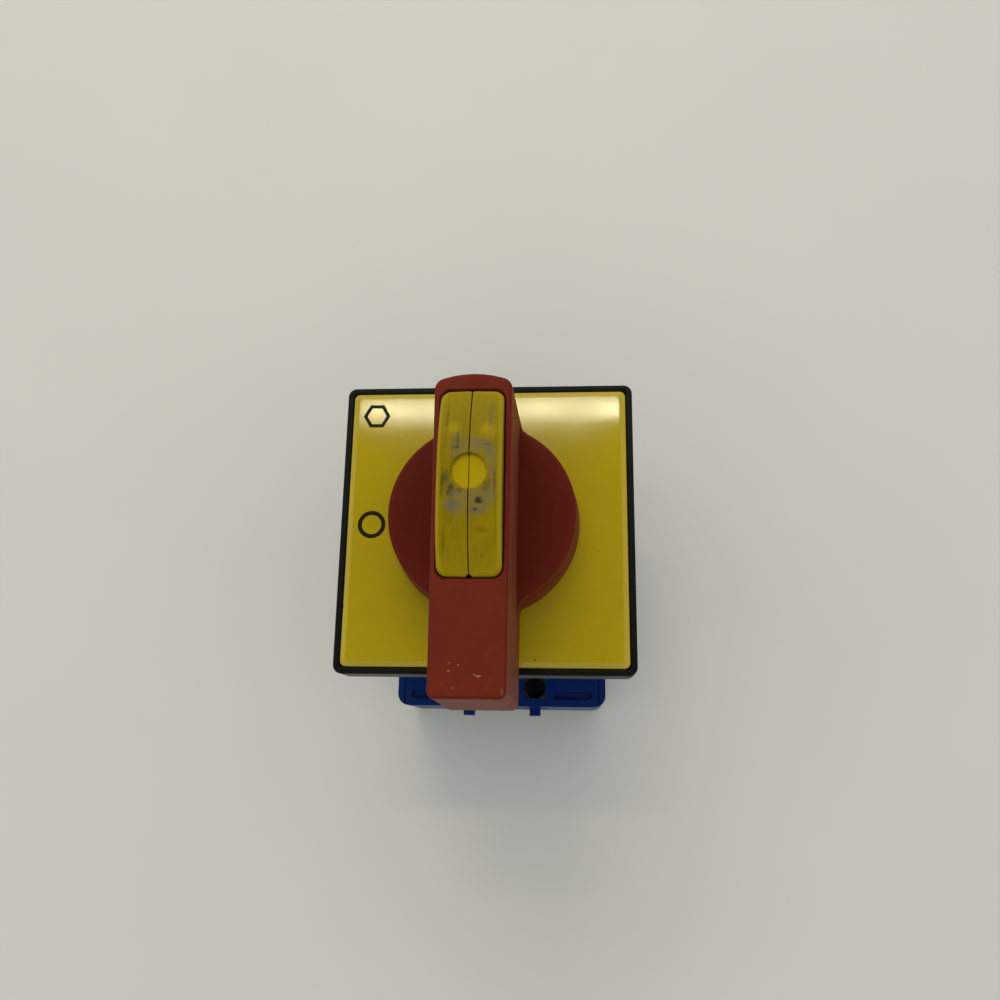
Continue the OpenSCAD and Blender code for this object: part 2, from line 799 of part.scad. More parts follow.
// Everything that both decks have: walls, roof, bosses, carrier rails and openings
module deck(z, length, terminal_y) {
    difference() {
        union() {
            difference() {
                translate([0, 0, z]) linear_extrude(deck_h) rounded_rect(deck_w, length, deck_corner_r);
                translate([0, 0, z - CUT]) linear_extrude(deck_h - roof_t + CUT)
                    rounded_rect(deck_w - 2 * deck_wall, length - 2 * deck_wall, deck_corner_r - 1);
            }
            at_corners(tie_x, tie_y) translate([0, 0, z]) cylinder(r = tie_boss_r, h = deck_h);
            for (i = [-1, 1], j = [-1, 1]) carrier_rail(z, i, j);
        }
        translate([0, 0, z]) cylinder(r = bearing_r, h = deck_h + CUT);
        at_corners(tie_x, tie_y)
            translate([0, 0, z - CUT]) cylinder(r = tie_hole_r, h = deck_h + 2 * CUT);
        at_corners(terminal_x, terminal_y) translate([0, 0, z + deck_h])
            cube([driver_hole, driver_hole, 3 * roof_t], center = true);
        for (i = [-1, 1], j = [-1, 1]) wire_entry(z, length, i, j);
    }
}

// Rail that hangs from the roof beside a contact carrier
module carrier_rail(z, i, j) {
    y = carrier_w / 2 + rail_gap + rail_w / 2;
    low = z + carrier_z + carrier_h / 2;
    high = z + deck_h - roof_t / 2;
    translate([i * (carrier_end_x - rail_l / 6), j * y, (low + high) / 2])
        cube([rail_l, rail_w, high - low], center = true);
}

module wire_entry(z, length, i, j) {
    translate([i * terminal_x, j * length / 2, z + wire_z + wire_h / 2])
        cube([wire_w, 4 * deck_wall, wire_h], center = true);
}

module front_deck_housing() {
    color(BLUE) deck(front_z, front_deck_l, front_terminal_y);
}

module rear_deck_housing() {
    color(BLUE) difference() {
        union() {
            deck(rear_z, rear_deck_l, rear_terminal_y);
            at_corners(terminal_x, rear_deck_l / 2 + peg_l / 2 - SEAT)
                translate([0, 0, rear_z + peg_z + peg_h / 2])
                    cube([peg_w, peg_l + 2 * SEAT, peg_h], center = true);
        }
        at_corners(slot_mark_x, rear_deck_l / 2 - slot_mark_inset)
            translate([0, 0, front_z - slot_mark_depth])
                linear_extrude(slot_mark_depth + CUT) obround(slot_mark_w, slot_mark_h);
        for (s = [-1, 1]) translate([s * side_groove_x, 0, front_z])
            cube([side_groove_w, rear_deck_l + 2 * CUT, 4 * side_groove_w], center = true);
    }
}

module obround(l, w) {
    square([l - w, w], center = true);
    for (s = [-1, 1]) translate([s * (l - w) / 2, 0]) circle(d = w);
}

module rear_cover() {
    color(BLUE) difference() {
        linear_extrude(cover_t) rounded_rect(deck_w, rear_deck_l, deck_corner_r);
        translate([0, 0, cover_t - cover_bearing_h]) cylinder(r = bearing_r, h = cover_bearing_h + CUT);
        at_corners(tie_x, tie_y) {
            translate([0, 0, -CUT]) cylinder(r = tie_hole_r, h = cover_t + 2 * CUT);
            translate([0, 0, -CUT]) cylinder(r = tie_pocket_r, h = tie_pocket_h + CUT);
        }
    }
}

// Radius of a cam at angle a: a straight rise from the contact line to the lobe, mirrored
function cam_radius(a) = cam_r + cam_lift * (1 - abs((a % 180) - 90) / 90);

module cam(z, low) {
    color(IVORY) difference() {
        union() {
            translate([0, 0, low]) cylinder(r = journal_r, h = z + deck_h - end_gap - low);
            translate([0, 0, z + cam_z]) linear_extrude(cam_t)
                polygon([for (i = [0 : 119]) let (a = 3 * i) cam_radius(a) * [cos(a), sin(a)]]);
        }
        translate([0, 0, low]) cube([square_hole, square_hole, 4 * deck_h], center = true);
    }
}

module front_cam() cam(front_z, front_z + end_gap);
module rear_cam() cam(rear_z, rear_z - cover_bearing_h + end_gap);

// Slider that follows the cam and carries a bridge contact, on the right-hand side
module carrier(z, right) {
    nose_x = cam_r + nose_gap;
    color(IVORY) on_side(right) translate([0, 0, z + carrier_z]) difference() {
        union() {
            linear_extrude(carrier_h)
                polygon([[nose_x, 0], [nose_x + nose_taper, nose_w / 2], [window_x - SEAT, nose_w / 2],
                         [window_x - SEAT, -nose_w / 2], [nose_x + nose_taper, -nose_w / 2]]);
            block([window_x - carrier_wall, -carrier_w / 2, 0],
                  [carrier_end_x, carrier_w / 2, carrier_h]);
        }
        block([window_x, -carrier_w, bridge_z - carrier_z - window_gap],
              [window_end_x, carrier_w, bridge_z - carrier_z + bridge_h + window_gap]);
    }
}

module front_carrier_right() carrier(front_z, true);
module front_carrier_left() carrier(front_z, false);
module rear_carrier_right() carrier(rear_z, true);
module rear_carrier_left() carrier(rear_z, false);

// Moving contact that joins two fixed contacts
module bridge(z, right) {
    color(COPPER) on_side(right)
        block([bridge_x, -bridge_half_l, z + bridge_z],
              [bridge_x + bridge_t, bridge_half_l, z + bridge_z + bridge_h]);
}

module front_bridge_right() bridge(front_z, true);
module front_bridge_left() bridge(front_z, false);
module rear_bridge_right() bridge(rear_z, true);
module rear_bridge_left() bridge(rear_z, false);

// Spring that presses a bridge contact on its pads
module contact_spring(z, right) {
    x = bridge_x + bridge_t;
    color(STEEL) on_side(right) translate([x, 0, z + bridge_z + bridge_h / 2])
        coil_spring(contact_spring_r, window_end_x - x, SPRING_TURNS);
}

module front_contact_spring_right() contact_spring(front_z, true);
module front_contact_spring_left() contact_spring(front_z, false);
module rear_contact_spring_right() contact_spring(rear_z, true);
module rear_contact_spring_left() contact_spring(rear_z, false);

// Spring that presses a carrier towards the cam
module return_spring(z, right) {
    color(STEEL) on_side(right) translate([carrier_end_x, 0, z + carrier_z + carrier_h / 2])
        coil_spring(return_spring_r, deck_w / 2 - deck_wall - carrier_end_x, SPRING_TURNS);
}

module front_return_spring_right() return_spring(front_z, true);
module front_return_spring_left() return_spring(front_z, false);
module rear_return_spring_right() return_spring(rear_z, true);
module rear_return_spring_left() return_spring(rear_z, false);

// Strip from a contact pad to a terminal, at the +X +Y corner
module fixed_contact(terminal_y) {
    pad_z = bridge_z + bridge_h / 2;
    low_x = terminal_x - strip_w / 2;
    top_z = strip_z + strip_t;
    block([low_x, strip_start_y, strip_z],
          [low_x + strip_w, terminal_y + cage_l / 2 + SEAT, top_z]);
    block([low_x, strip_start_y, strip_z],
          [tab_x + tab_t, strip_start_y + strip_foot_l, top_z]);
    block([tab_x, pad_y - tab_l / 2, pad_z - tab_h / 2],
          [tab_x + tab_t, pad_y + tab_l / 2, pad_z + tab_h / 2]);
    translate([tab_x + tab_t, pad_y, pad_z]) rotate([0, 90, 0]) cylinder(r = pad_r, h = pad_t);
}

module fixed_contacts(z, terminal_y) {
    color(BRASS) translate([0, 0, z]) for (i = [0, 1], j = [0, 1])
        mirror([i, 0, 0]) mirror([0, j, 0]) fixed_contact(terminal_y);
}

module front_fixed_contacts() fixed_contacts(front_z, front_terminal_y);
module rear_fixed_contacts() fixed_contacts(rear_z, rear_terminal_y);

// Cage that pulls a wire against its strip, open along Y
module terminal_cage() {
    difference() {
        translate([-cage_w / 2, -cage_l / 2, cage_z]) cube([cage_w, cage_l, cage_h]);
        block([-cage_w / 2 + cage_wall, -cage_l, cage_z + cage_wall],
              [cage_w / 2 - cage_wall, cage_l, cage_z + cage_h - cage_top_t]);
        cylinder(d = terminal_screw_d, h = 3 * cage_h);
    }
}

module terminal_cages() {
    color(STEEL) for (t = [[rear_z, rear_terminal_y], [front_z, front_terminal_y]])
        translate([0, 0, t[0]]) at_corners(terminal_x, t[1]) terminal_cage();
}

module terminal_screw() {
    head_z = cage_z + cage_h + cage_head_gap;
    thread_h = cage_top_t + cage_head_gap;
    difference() {
        union() {
            translate([0, 0, head_z]) cylinder(r = terminal_head_r, h = terminal_head_h);
            translate([0, 0, head_z - thread_h]) cylinder(d = terminal_screw_d, h = thread_h + SEAT);
        }
        translate([0, 0, head_z + terminal_head_h])
            cube([driver_slot, 2 * terminal_head_r + CUT, terminal_head_h], center = true);
    }
}

module terminal_screws() {
    color(STEEL) for (t = [[rear_z, rear_terminal_y], [front_z, front_terminal_y]])
        translate([0, 0, t[0]]) at_corners(terminal_x, t[1]) terminal_screw();
}

// ---- tie bolts ----

module tie_bolts() {
    head_z = tie_pocket_h - tie_head_h - SEAT;
    color(STEEL) at_corners(tie_x, tie_y) difference() {
        union() {
            translate([0, 0, head_z]) cylinder(r = tie_head_r, h = tie_head_h);
            translate([0, 0, head_z]) cylinder(d = tie_d, h = nut_z + nut_h + tie_tail - head_z);
        }
        translate([0, 0, head_z]) cube([driver_slot, 2 * tie_head_r + CUT, tie_head_h], center = true);
    }
}

module tie_nuts() {
    color(STEEL) at_corners(tie_x, tie_y) translate([0, 0, nut_z]) difference() {
        cylinder(r = nut_r, h = nut_h, $fn = 6);
        translate([0, 0, -CUT]) cylinder(d = tie_d, h = nut_h + 2 * CUT);
    }
}

escutcheon_frame();
legend_plate();
legend_marks();
shaft_seal();
panel_gasket();
handle();
handle_screw();
handle_washer();
lock_slide_left();
lock_slide_right();
lock_stop_pin();
mounting_flange();
flange_screws();
latch_housing();
latch_rotor();
detent_plungers();
detent_springs();
drive_shaft();
front_deck_housing();
rear_deck_housing();
rear_cover();
front_cam();
rear_cam();
front_carrier_right();
front_carrier_left();
rear_carrier_right();
rear_carrier_left();
front_bridge_right();
front_bridge_left();
rear_bridge_right();
rear_bridge_left();
front_contact_spring_right();
front_contact_spring_left();
rear_contact_spring_right();
rear_contact_spring_left();
front_return_spring_right();
front_return_spring_left();
rear_return_spring_right();
rear_return_spring_left();
front_fixed_contacts();
rear_fixed_contacts();
terminal_cages();
terminal_screws();
tie_bolts();
tie_nuts();
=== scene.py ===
# %% [markdown]
# # A rotary isolator switch, dressed for a studio shot
#
# The switch has a red lever handle on a yellow legend plate, a black frame, and two blue contact
# decks behind the panel. A drawing package has already fixed every size and every joint. This
# lesson loads that frame, lights it, and then gives each part the shape of its edges and the
# finish of its plastic or metal.

# %% Load the frame
import math

import bmesh
import bpy
from mathutils import Matrix, Vector


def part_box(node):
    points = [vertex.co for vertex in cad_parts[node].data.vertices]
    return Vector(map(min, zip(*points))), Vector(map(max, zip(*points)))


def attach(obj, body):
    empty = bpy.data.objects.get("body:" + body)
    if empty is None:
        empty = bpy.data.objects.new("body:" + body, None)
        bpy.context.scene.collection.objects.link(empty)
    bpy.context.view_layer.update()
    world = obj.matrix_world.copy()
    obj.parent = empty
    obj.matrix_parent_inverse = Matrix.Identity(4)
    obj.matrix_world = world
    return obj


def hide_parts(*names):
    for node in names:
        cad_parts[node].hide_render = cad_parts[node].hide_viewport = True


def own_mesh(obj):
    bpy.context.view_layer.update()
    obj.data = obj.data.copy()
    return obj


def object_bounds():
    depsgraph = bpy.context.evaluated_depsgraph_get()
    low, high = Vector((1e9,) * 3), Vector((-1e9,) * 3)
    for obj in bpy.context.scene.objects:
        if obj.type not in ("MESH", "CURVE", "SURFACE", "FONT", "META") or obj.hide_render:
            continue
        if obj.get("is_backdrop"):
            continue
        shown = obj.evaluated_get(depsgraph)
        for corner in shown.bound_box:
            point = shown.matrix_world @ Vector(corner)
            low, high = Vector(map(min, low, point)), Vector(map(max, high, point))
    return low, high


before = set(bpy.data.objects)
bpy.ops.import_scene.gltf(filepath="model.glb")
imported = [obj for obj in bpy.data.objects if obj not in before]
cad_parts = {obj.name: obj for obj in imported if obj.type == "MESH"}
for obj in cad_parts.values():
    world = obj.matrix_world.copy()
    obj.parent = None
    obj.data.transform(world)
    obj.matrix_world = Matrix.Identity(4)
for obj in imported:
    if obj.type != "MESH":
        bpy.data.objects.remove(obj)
cad_low, cad_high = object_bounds()
MM = 0.001

# %% [markdown]
# ## The camera
#
# The switch lies on its back and is seen from above, a little from below the handle and from the
# right. The camera's place and its three axes are set directly, because a short lens close to
# the object gives a strong perspective: the handle looks larger than the decks under it.

# %% Camera
CAMERA_PLACE = Vector((18.56, -45.31, 268.54)) * MM
RIGHT = Vector((0.99699, 0.01525, -0.07597))
DOWN = Vector((-0.00447, -0.96748, -0.25290))
FORWARD = RIGHT.cross(DOWN).normalized()
LENS_MM = 33.3

camera_data = bpy.data.cameras.new("camera")
camera_data.lens = LENS_MM
camera_data.sensor_width = 36
camera_data.clip_start = 0.01
camera = bpy.data.objects.new("camera", camera_data)
axes = Matrix((RIGHT, -FORWARD.cross(RIGHT), -FORWARD)).transposed()
camera.matrix_world = Matrix.Translation(CAMERA_PLACE) @ axes.to_4x4()
bpy.context.scene.collection.objects.link(camera)
bpy.context.scene.camera = camera
bpy.context.scene.view_settings.view_transform = "Standard"
print("camera looks along", [round(x, 3) for x in FORWARD])

# %% [markdown]
# ## Node helpers
#
# Every finish is made of nodes. These helpers keep the material code short: they add a node and
# fill its sockets, make an empty shader group, or place a group in a material.


# %% Node helpers
def fill(tree, socket, value):
    """Links a socket to another one, or sets it to a plain value."""
    if isinstance(value, bpy.types.NodeSocket):
        tree.links.new(value, socket)
    else:
        socket.default_value = value


def add_node(tree, kind, inputs=(), **settings):
    """Adds a node, sets its properties, and fills or links its inputs."""
    made = tree.nodes.new(kind)
    for name, value in settings.items():
        setattr(made, name, value)
    for name, value in dict(inputs).items():
        fill(tree, made.inputs[name], value)
    return made


def new_group(name, inputs, outputs):
    """An empty shader group. inputs is {name: (kind, value)}, outputs is {name: kind}."""
    tree = bpy.data.node_groups.new(name, "ShaderNodeTree")
    for label, (kind, value) in inputs.items():
        socket = tree.interface.new_socket(label, in_out="INPUT", socket_type="NodeSocket" + kind)
        socket.default_value = value
    for label, kind in outputs.items():
        tree.interface.new_socket(label, in_out="OUTPUT", socket_type="NodeSocket" + kind)
    return tree, tree.nodes.new("NodeGroupInput"), tree.nodes.new("NodeGroupOutput")


def use_group(tree, group, **inputs):
    """Places a group in a material. Underscores in the names stand for spaces."""
    made = tree.nodes.new("ShaderNodeGroup")
    made.node_tree = group
    for name, value in inputs.items():
        fill(tree, made.inputs[name.replace("_", " ")], value)
    return made


def math_node(tree, operation, *values, clamp=False):
    """The result of a Math node, whose inputs are numbers or sockets."""
    made = add_node(tree, "ShaderNodeMath", operation=operation, use_clamp=clamp)
    for socket, value in zip(made.inputs, values):
        fill(tree, socket, value)
    return made.outputs[0]


def vector_node(tree, operation, *values):
    """A Vector Math node, whose inputs are vectors or sockets."""
    made = add_node(tree, "ShaderNodeVectorMath", operation=operation)
    for socket, value in zip(made.inputs, values):
        fill(tree, socket, value)
    return made


def blend_colour(tree, factor, first, second, kind="MIX"):
    """One Mix node for colours, whose inputs are colours or sockets."""
    made = tree.nodes.new("ShaderNodeMix")
    made.data_type = "RGBA"
    made.blend_type = kind
    for index, value in ((0, factor), (6, first), (7, second)):
        fill(tree, made.inputs[index], value)
    return made.outputs[2]


def object_place(tree):
    """The Object output of a Texture Coordinate node."""
    return tree.nodes.new("ShaderNodeTexCoord").outputs["Object"]


def noise(tree, place, scale, detail, roughness=0.5):
    """The value of a Noise texture at a place."""
    inputs = {"Vector": place, "Scale": scale, "Detail": detail, "Roughness": roughness}
    return add_node(tree, "ShaderNodeTexNoise", inputs).outputs[0]


def new_material(name, **inputs):
    """A material with its node tree and its main shader. Underscores stand for spaces."""
    material = bpy.data.materials.new(name)
    material.use_nodes = True
    shader = material.node_tree.nodes["Principled BSDF"]
    for label, value in inputs.items():
        shader.inputs[label.replace("_", " ")].default_value = value
    return material, material.node_tree, shader


def rgb(red, green, blue):
    """A colour given as it looks on a screen, from 0 to 255, made linear for the shader."""
    def straight(value):
        value = value / 255
        return value / 12.92 if value <= 0.04045 else ((value + 0.055) / 1.055) ** 2.4
    return (straight(red), straight(green), straight(blue), 1.0)


print("node helpers ready")

# %% [markdown]
# ## Shared effects
#
# Moulded plastic is never quite even. Five effects come back in the finishes, so each is a group
# that is built once: fine grain from the mould, rubbed edges, thin scratches, soft streaks, and
# round ragged patches, which lay grime where fingers press and also painted shade.


# %% Grain group
def make_grain():
    """Small bumps and slow unevenness, as a mould leaves them."""
    tree, inside, outside = new_group(
        "mould_grain",
        {"Fine Scale": ("Float", 2500.0), "Slow Scale": ("Float", 90.0)},
        {"Fine": "Float", "Slow": "Float"},
    )
    place = object_place(tree)
    fine = noise(tree, place, inside.outputs["Fine Scale"], 3.0)
    slow = noise(tree, place, inside.outputs["Slow Scale"], 5.0, 0.6)
    tree.links.new(fine, outside.inputs["Fine"])
    tree.links.new(slow, outside.inputs["Slow"])
    return tree


GRAIN = make_grain()


# %% Rubbed edge group
def make_rubbed_edge():
    """A mask that is 1 on convex and concave edges, broken up by noise."""
    tree, inside, outside = new_group(
        "rubbed_edge",
        {"Radius": ("Float", 0.0004), "Gain": ("Float", 3.0), "Breakup": ("Float", 0.5)},
        {"Mask": "Float"},
    )
    soft = add_node(tree, "ShaderNodeBevel", {"Radius": inside.outputs["Radius"]}, samples=4)
    true = tree.nodes.new("ShaderNodeNewGeometry")
    turn = vector_node(tree, "DOT_PRODUCT", soft.outputs[0], true.outputs["Normal"])
    edge = math_node(tree, "SUBTRACT", 1.0, turn.outputs["Value"])
    edge = math_node(tree, "MULTIPLY", edge, inside.outputs["Gain"], clamp=True)
    specks = noise(tree, object_place(tree), 900.0, 4.0)
    broken = math_node(tree, "SUBTRACT", specks, inside.outputs["Breakup"])
    broken = math_node(tree, "MULTIPLY", broken, 6.0, clamp=True)
    mask = math_node(tree, "MULTIPLY", edge, broken, clamp=True)
    tree.links.new(mask, outside.inputs["Mask"])
    return tree


RUBBED_EDGE = make_rubbed_edge()


# %% Scratch group
def make_scratches():
    """Thin lines in a few directions: the edges of stretched cells, kept only here and there."""
    tree, inside, outside = new_group(
        "fine_scratches",
        {"Scale": ("Float", 160.0), "Stretch": ("Float", 14.0), "Angle": ("Float", 0.5),
         "Width": ("Float", 0.02), "Amount": ("Float", 0.5)},
        {"Mask": "Float"},
    )
    turned = add_node(tree, "ShaderNodeVectorRotate",
                      {"Vector": object_place(tree), "Angle": inside.outputs["Angle"]},
                      rotation_type="Z_AXIS")
    squeeze = add_node(tree, "ShaderNodeCombineXYZ", {"X": 1.0, "Z": 1.0})
    thin = math_node(tree, "DIVIDE", 1.0, inside.outputs["Stretch"])
    tree.links.new(thin, squeeze.inputs["Y"])
    scaled = vector_node(tree, "MULTIPLY", turned.outputs[0], squeeze.outputs[0])
    cells = add_node(tree, "ShaderNodeTexVoronoi",
                     {"Vector": scaled.outputs[0], "Scale": inside.outputs["Scale"]},
                     feature="DISTANCE_TO_EDGE")
    line = math_node(tree, "LESS_THAN", cells.outputs["Distance"], inside.outputs["Width"])
    patches = noise(tree, object_place(tree), 210.0, 2.0)
    kept = math_node(tree, "SUBTRACT", patches, inside.outputs["Amount"])
    kept = math_node(tree, "MULTIPLY", kept, 9.0, clamp=True)
    tree.links.new(math_node(tree, "MULTIPLY", line, kept), outside.inputs["Mask"])
    return tree


SCRATCHES = make_scratches()


# %% Streak group
def make_streaks():
    """Soft streaks that run along one axis, from years of rubbing or from wiping a wall."""
    tree, inside, outside = new_group(
        "rub_streaks",
        {"Squeeze": ("Vector", (1.0, 0.06, 1.0)), "Scale": ("Float", 1500.0)},
        {"Mask": "Float"},
    )
    squeezed = vector_node(tree, "MULTIPLY", object_place(tree), inside.outputs["Squeeze"])
    mask = noise(tree, squeezed.outputs[0], inside.outputs["Scale"], 3.0)
    mask = math_node(tree, "SUBTRACT", mask, 0.45)
    tree.links.new(math_node(tree, "MULTIPLY", mask, 5.0, clamp=True), outside.inputs["Mask"])
    return tree


STREAKS = make_streaks()


# %% Patch group
def make_patch():
    """A round or oval patch with a ragged rim, centred on one point of the object."""
    tree, inside, outside = new_group(
        "ragged_patch",
        {"Centre": ("Vector", (0.0, 0.0, 0.0)), "Size": ("Vector", (0.001, 0.001, 0.001)),
         "Ragged": ("Float", 0.5), "Scale": ("Float", 1200.0), "Soft": ("Float", 0.5)},
        {"Mask": "Float"},
    )
    place = object_place(tree)
    offset = vector_node(tree, "SUBTRACT", place, inside.outputs["Centre"])
    shaped = vector_node(tree, "DIVIDE", offset.outputs[0], inside.outputs["Size"])
    reach = vector_node(tree, "LENGTH", shaped.outputs[0])
    wobble = math_node(tree, "SUBTRACT", noise(tree, place, inside.outputs["Scale"], 4.0), 0.5)
    wobble = math_node(tree, "MULTIPLY", wobble, inside.outputs["Ragged"])
    wobble = math_node(tree, "MULTIPLY", wobble, 4.0)
    edge = math_node(tree, "ADD", reach.outputs["Value"], wobble)
    edge = math_node(tree, "SUBTRACT", 1.0, edge)
    mask = math_node(tree, "DIVIDE", edge, inside.outputs["Soft"], clamp=True)
    tree.links.new(mask, outside.inputs["Mask"])
    return tree


PATCH = make_patch()
print("shared groups:", [g.name for g in bpy.data.node_groups])

# %% [markdown]
# ## The plastic finishes
#
# All the mouldings share one recipe: a base colour that drifts slowly, rubbed edges that turn
# paler or darker, thin scratches, and a fine grain in the bump. Each finish only changes the
# numbers. Grime patches are added to it one by one, so that a finish can carry a part's history.


# %% Plastic recipe
def paint_light_by_lean(tree, base, stops):
    """Paints light and shade into a colour by the surface's lean: 0 is a wall, 1 is level ground.

    Each stop is (lean, colour, strength)."""
    leaning = add_node(tree, "ShaderNodeSeparateXYZ")
    tree.links.new(tree.nodes.new("ShaderNodeTexCoord").outputs["Normal"], leaning.inputs[0])
    level = math_node(tree, "ABSOLUTE", leaning.outputs["Z"])
    ramp = add_node(tree, "ShaderNodeValToRGB", {"Fac": level})
    while len(ramp.color_ramp.elements) < len(stops):
        ramp.color_ramp.elements.new(0.5)
    for element, (lean, colour, strength) in zip(ramp.color_ramp.elements, stops):
        element.position = lean
        element.color = (*colour[:3], strength)
    return blend_colour(tree, ramp.outputs["Alpha"], base, ramp.outputs["Color"])


def plastic(name, colour, drift, rough, edge_colour, edge_gain=2.0, edge_mix=0.5, scratch=0.35,
            scratch_rough=0.15, grain_bump=0.06, slow_scale=90.0, ripple=0.0, shine=0.5,
            painted_light=(), grit=0.5, dusty=0.0, streaks=()):
    """A moulded plastic with drifting colour, rubbed edges, scratches and grain.

    It may have ripples, streaks (squeeze, colour, strength), and painted light by how it faces."""
    material, tree, shader = new_material(
        name, Specular_IOR_Level=shine, Sheen_Weight=dusty, Sheen_Roughness=0.35,
        Sheen_Tint=(0.75, 0.72, 0.6, 1.0))
    grain = use_group(tree, GRAIN, Slow_Scale=slow_scale)
    edge = use_group(tree, RUBBED_EDGE, Gain=edge_gain)
    lines = use_group(tree, SCRATCHES)
    tone = math_node(tree, "MULTIPLY_ADD", grain.outputs["Slow"], 1.6, -0.3, clamp=True)
    base = blend_colour(tree, tone, colour, drift)
    if streaks:
        squeeze, streak_colour, strength = streaks
        lines_along = use_group(tree, STREAKS, Squeeze=squeeze)
        amount = math_node(tree, "MULTIPLY", lines_along.outputs["Mask"], strength)
        base = blend_colour(tree, amount, base, streak_colour)
    # Painted light and shade, set by how far each surface leans.
    if painted_light:
        base = paint_light_by_lean(tree, base, painted_light)
    worn = math_node(tree, "MULTIPLY", edge.outputs["Mask"], edge_mix)
    base = blend_colour(tree, worn, base, edge_colour)
    marked = math_node(tree, "MULTIPLY", lines.outputs["Mask"], scratch)
    base = blend_colour(tree, marked, base, edge_colour)
    sheen = math_node(tree, "MULTIPLY_ADD", grain.outputs["Slow"], 0.12, rough - 0.06)
    sheen = math_node(tree, "ADD", sheen, math_node(tree, "MULTIPLY", marked, scratch_rough))
    height = math_node(tree, "MULTIPLY", grain.outputs["Fine"], grit)
    if ripple:
        swell = math_node(tree, "MULTIPLY", noise(tree, object_place(tree), 620.0, 2.0), ripple)
        height = math_node(tree, "ADD", height, swell)
    height = math_node(tree, "SUBTRACT", height, math_node(tree, "MULTIPLY", marked, 0.4))
    bump = add_node(tree, "ShaderNodeBump",
                    {"Height": height, "Strength": grain_bump, "Distance": 0.0002})
    tree.links.new(base, shader.inputs["Base Color"])
    tree.links.new(sheen, shader.inputs["Roughness"])
    tree.links.new(bump.outputs[0], shader.inputs["Normal"])
    return material


def lay_patches(material, patches, rough=None):
    """Lays grime, nicks, cleaner spots or painted shade over a finish.

    A patch is (centre in mm, size in mm, colour, strength, ragged, soft, scale)."""
    tree = material.node_tree
    shader = tree.nodes["Principled BSDF"]
    for centre, size, colour, strength, ragged, soft, scale in patches:
        below = shader.inputs["Base Color"].links[0].from_socket
        patch = use_group(tree, PATCH, Centre=[c * MM for c in centre],
                          Size=[s * MM for s in size], Ragged=ragged, Soft=soft, Scale=scale)
        amount = math_node(tree, "MULTIPLY", patch.outputs["Mask"], strength)
        above = blend_colour(tree, amount, below, colour)
        tree.links.new(above, shader.inputs["Base Color"])
        if rough is not None:
            was = shader.inputs["Roughness"].links[0].from_socket
            more = math_node(tree, "ADD", was, math_node(tree, "MULTIPLY", amount, rough))
            tree.links.new(more, shader.inputs["Roughness"])
    return material


# %% The mouldings
# Painted light on the red handle: a dull brown painted reflection on its walls, and a deeper
# painted red on its rounded edges, which reflect less light.
RED_PAINTED_LIGHT = [(0.0, rgb(84, 56, 22), 0.22), (0.3, rgb(84, 56, 22), 0.2),
              (0.5, rgb(100, 14, 3), 0.75), (0.85, rgb(100, 14, 3), 0.6),
              (0.97, rgb(124, 43, 24), 0.0)]
# Painted light on the slide: painted shade on its walls and along the inner line of its shoulders,
# and painted highlights on the rounded shoulders.
SLIDE_PAINTED_LIGHT = [(0.0, rgb(120, 96, 4), 0.6), (0.35, rgb(176, 152, 14), 0.5),
                (0.8, rgb(184, 160, 20), 0.5), (0.93, rgb(150, 126, 4), 0.4),
                (0.985, rgb(158, 133, 3), 0.0)]
black_plastic = plastic("satin_black_plastic", rgb(19, 18, 15), rgb(13, 13, 10), 0.42,
                        rgb(60, 60, 56), edge_mix=0.3, scratch=0.12, grain_bump=0.12, shine=0.12)
red_plastic = plastic("rubbed_red_plastic", rgb(120, 43, 25), rgb(104, 34, 17), 0.5,
                      rgb(150, 84, 66), edge_mix=0.2, scratch=0.05, grain_bump=0.14,
                      slow_scale=140.0, shine=0.07, painted_light=RED_PAINTED_LIGHT, dusty=0.02,
                      streaks=((1.0, 1.0, 0.05), rgb(96, 44, 28), 0.35))
yellow_gloss = plastic("glossy_yellow_legend", rgb(190, 163, 7), rgb(176, 151, 4), 0.08,
                       rgb(214, 190, 70), edge_gain=1.0, edge_mix=0.15, scratch=0.05,
                       grain_bump=0.03, slow_scale=60.0, ripple=0.4, shine=0.4, grit=0.04)
yellow_satin = plastic("handled_yellow_plastic", rgb(154, 128, 2), rgb(132, 109, 1), 0.45,
                       rgb(196, 174, 60), edge_mix=0.25, scratch=0.08, grain_bump=0.14,
                       slow_scale=210.0, shine=0.06, painted_light=SLIDE_PAINTED_LIGHT,
                       streaks=((1.0, 0.05, 0.3), rgb(116, 98, 6), 0.5))
blue_plastic = plastic("deep_blue_plastic", rgb(3, 38, 104), rgb(2, 30, 84), 0.38,
                       rgb(34, 70, 130), edge_mix=0.2, scratch=0.06, grain_bump=0.08, shine=0.2,
                       streaks=((1.0, 1.0, 0.06), rgb(10, 46, 112), 0.4))
ivory_plastic = plastic("ivory_plastic", rgb(222, 214, 190), rgb(208, 198, 170), 0.4,
                        rgb(236, 230, 214), edge_mix=0.4, scratch=0.15, grain_bump=0.08)
seal_rubber = plastic("seal_rubber", rgb(30, 30, 30), rgb(22, 22, 22), 0.75, rgb(60, 60, 58),
                      edge_mix=0.3, scratch=0.0, grain_bump=0.3, slow_scale=260.0, shine=0.3)
mark_ink = plastic("mark_ink", rgb(30, 28, 16), rgb(20, 19, 12), 0.3, rgb(70, 62, 30),
                   edge_mix=0.2, scratch=0.08, grain_bump=0.03, slow_scale=500.0, shine=0.12)
print("plastics:", [m.name for m in bpy.data.materials])

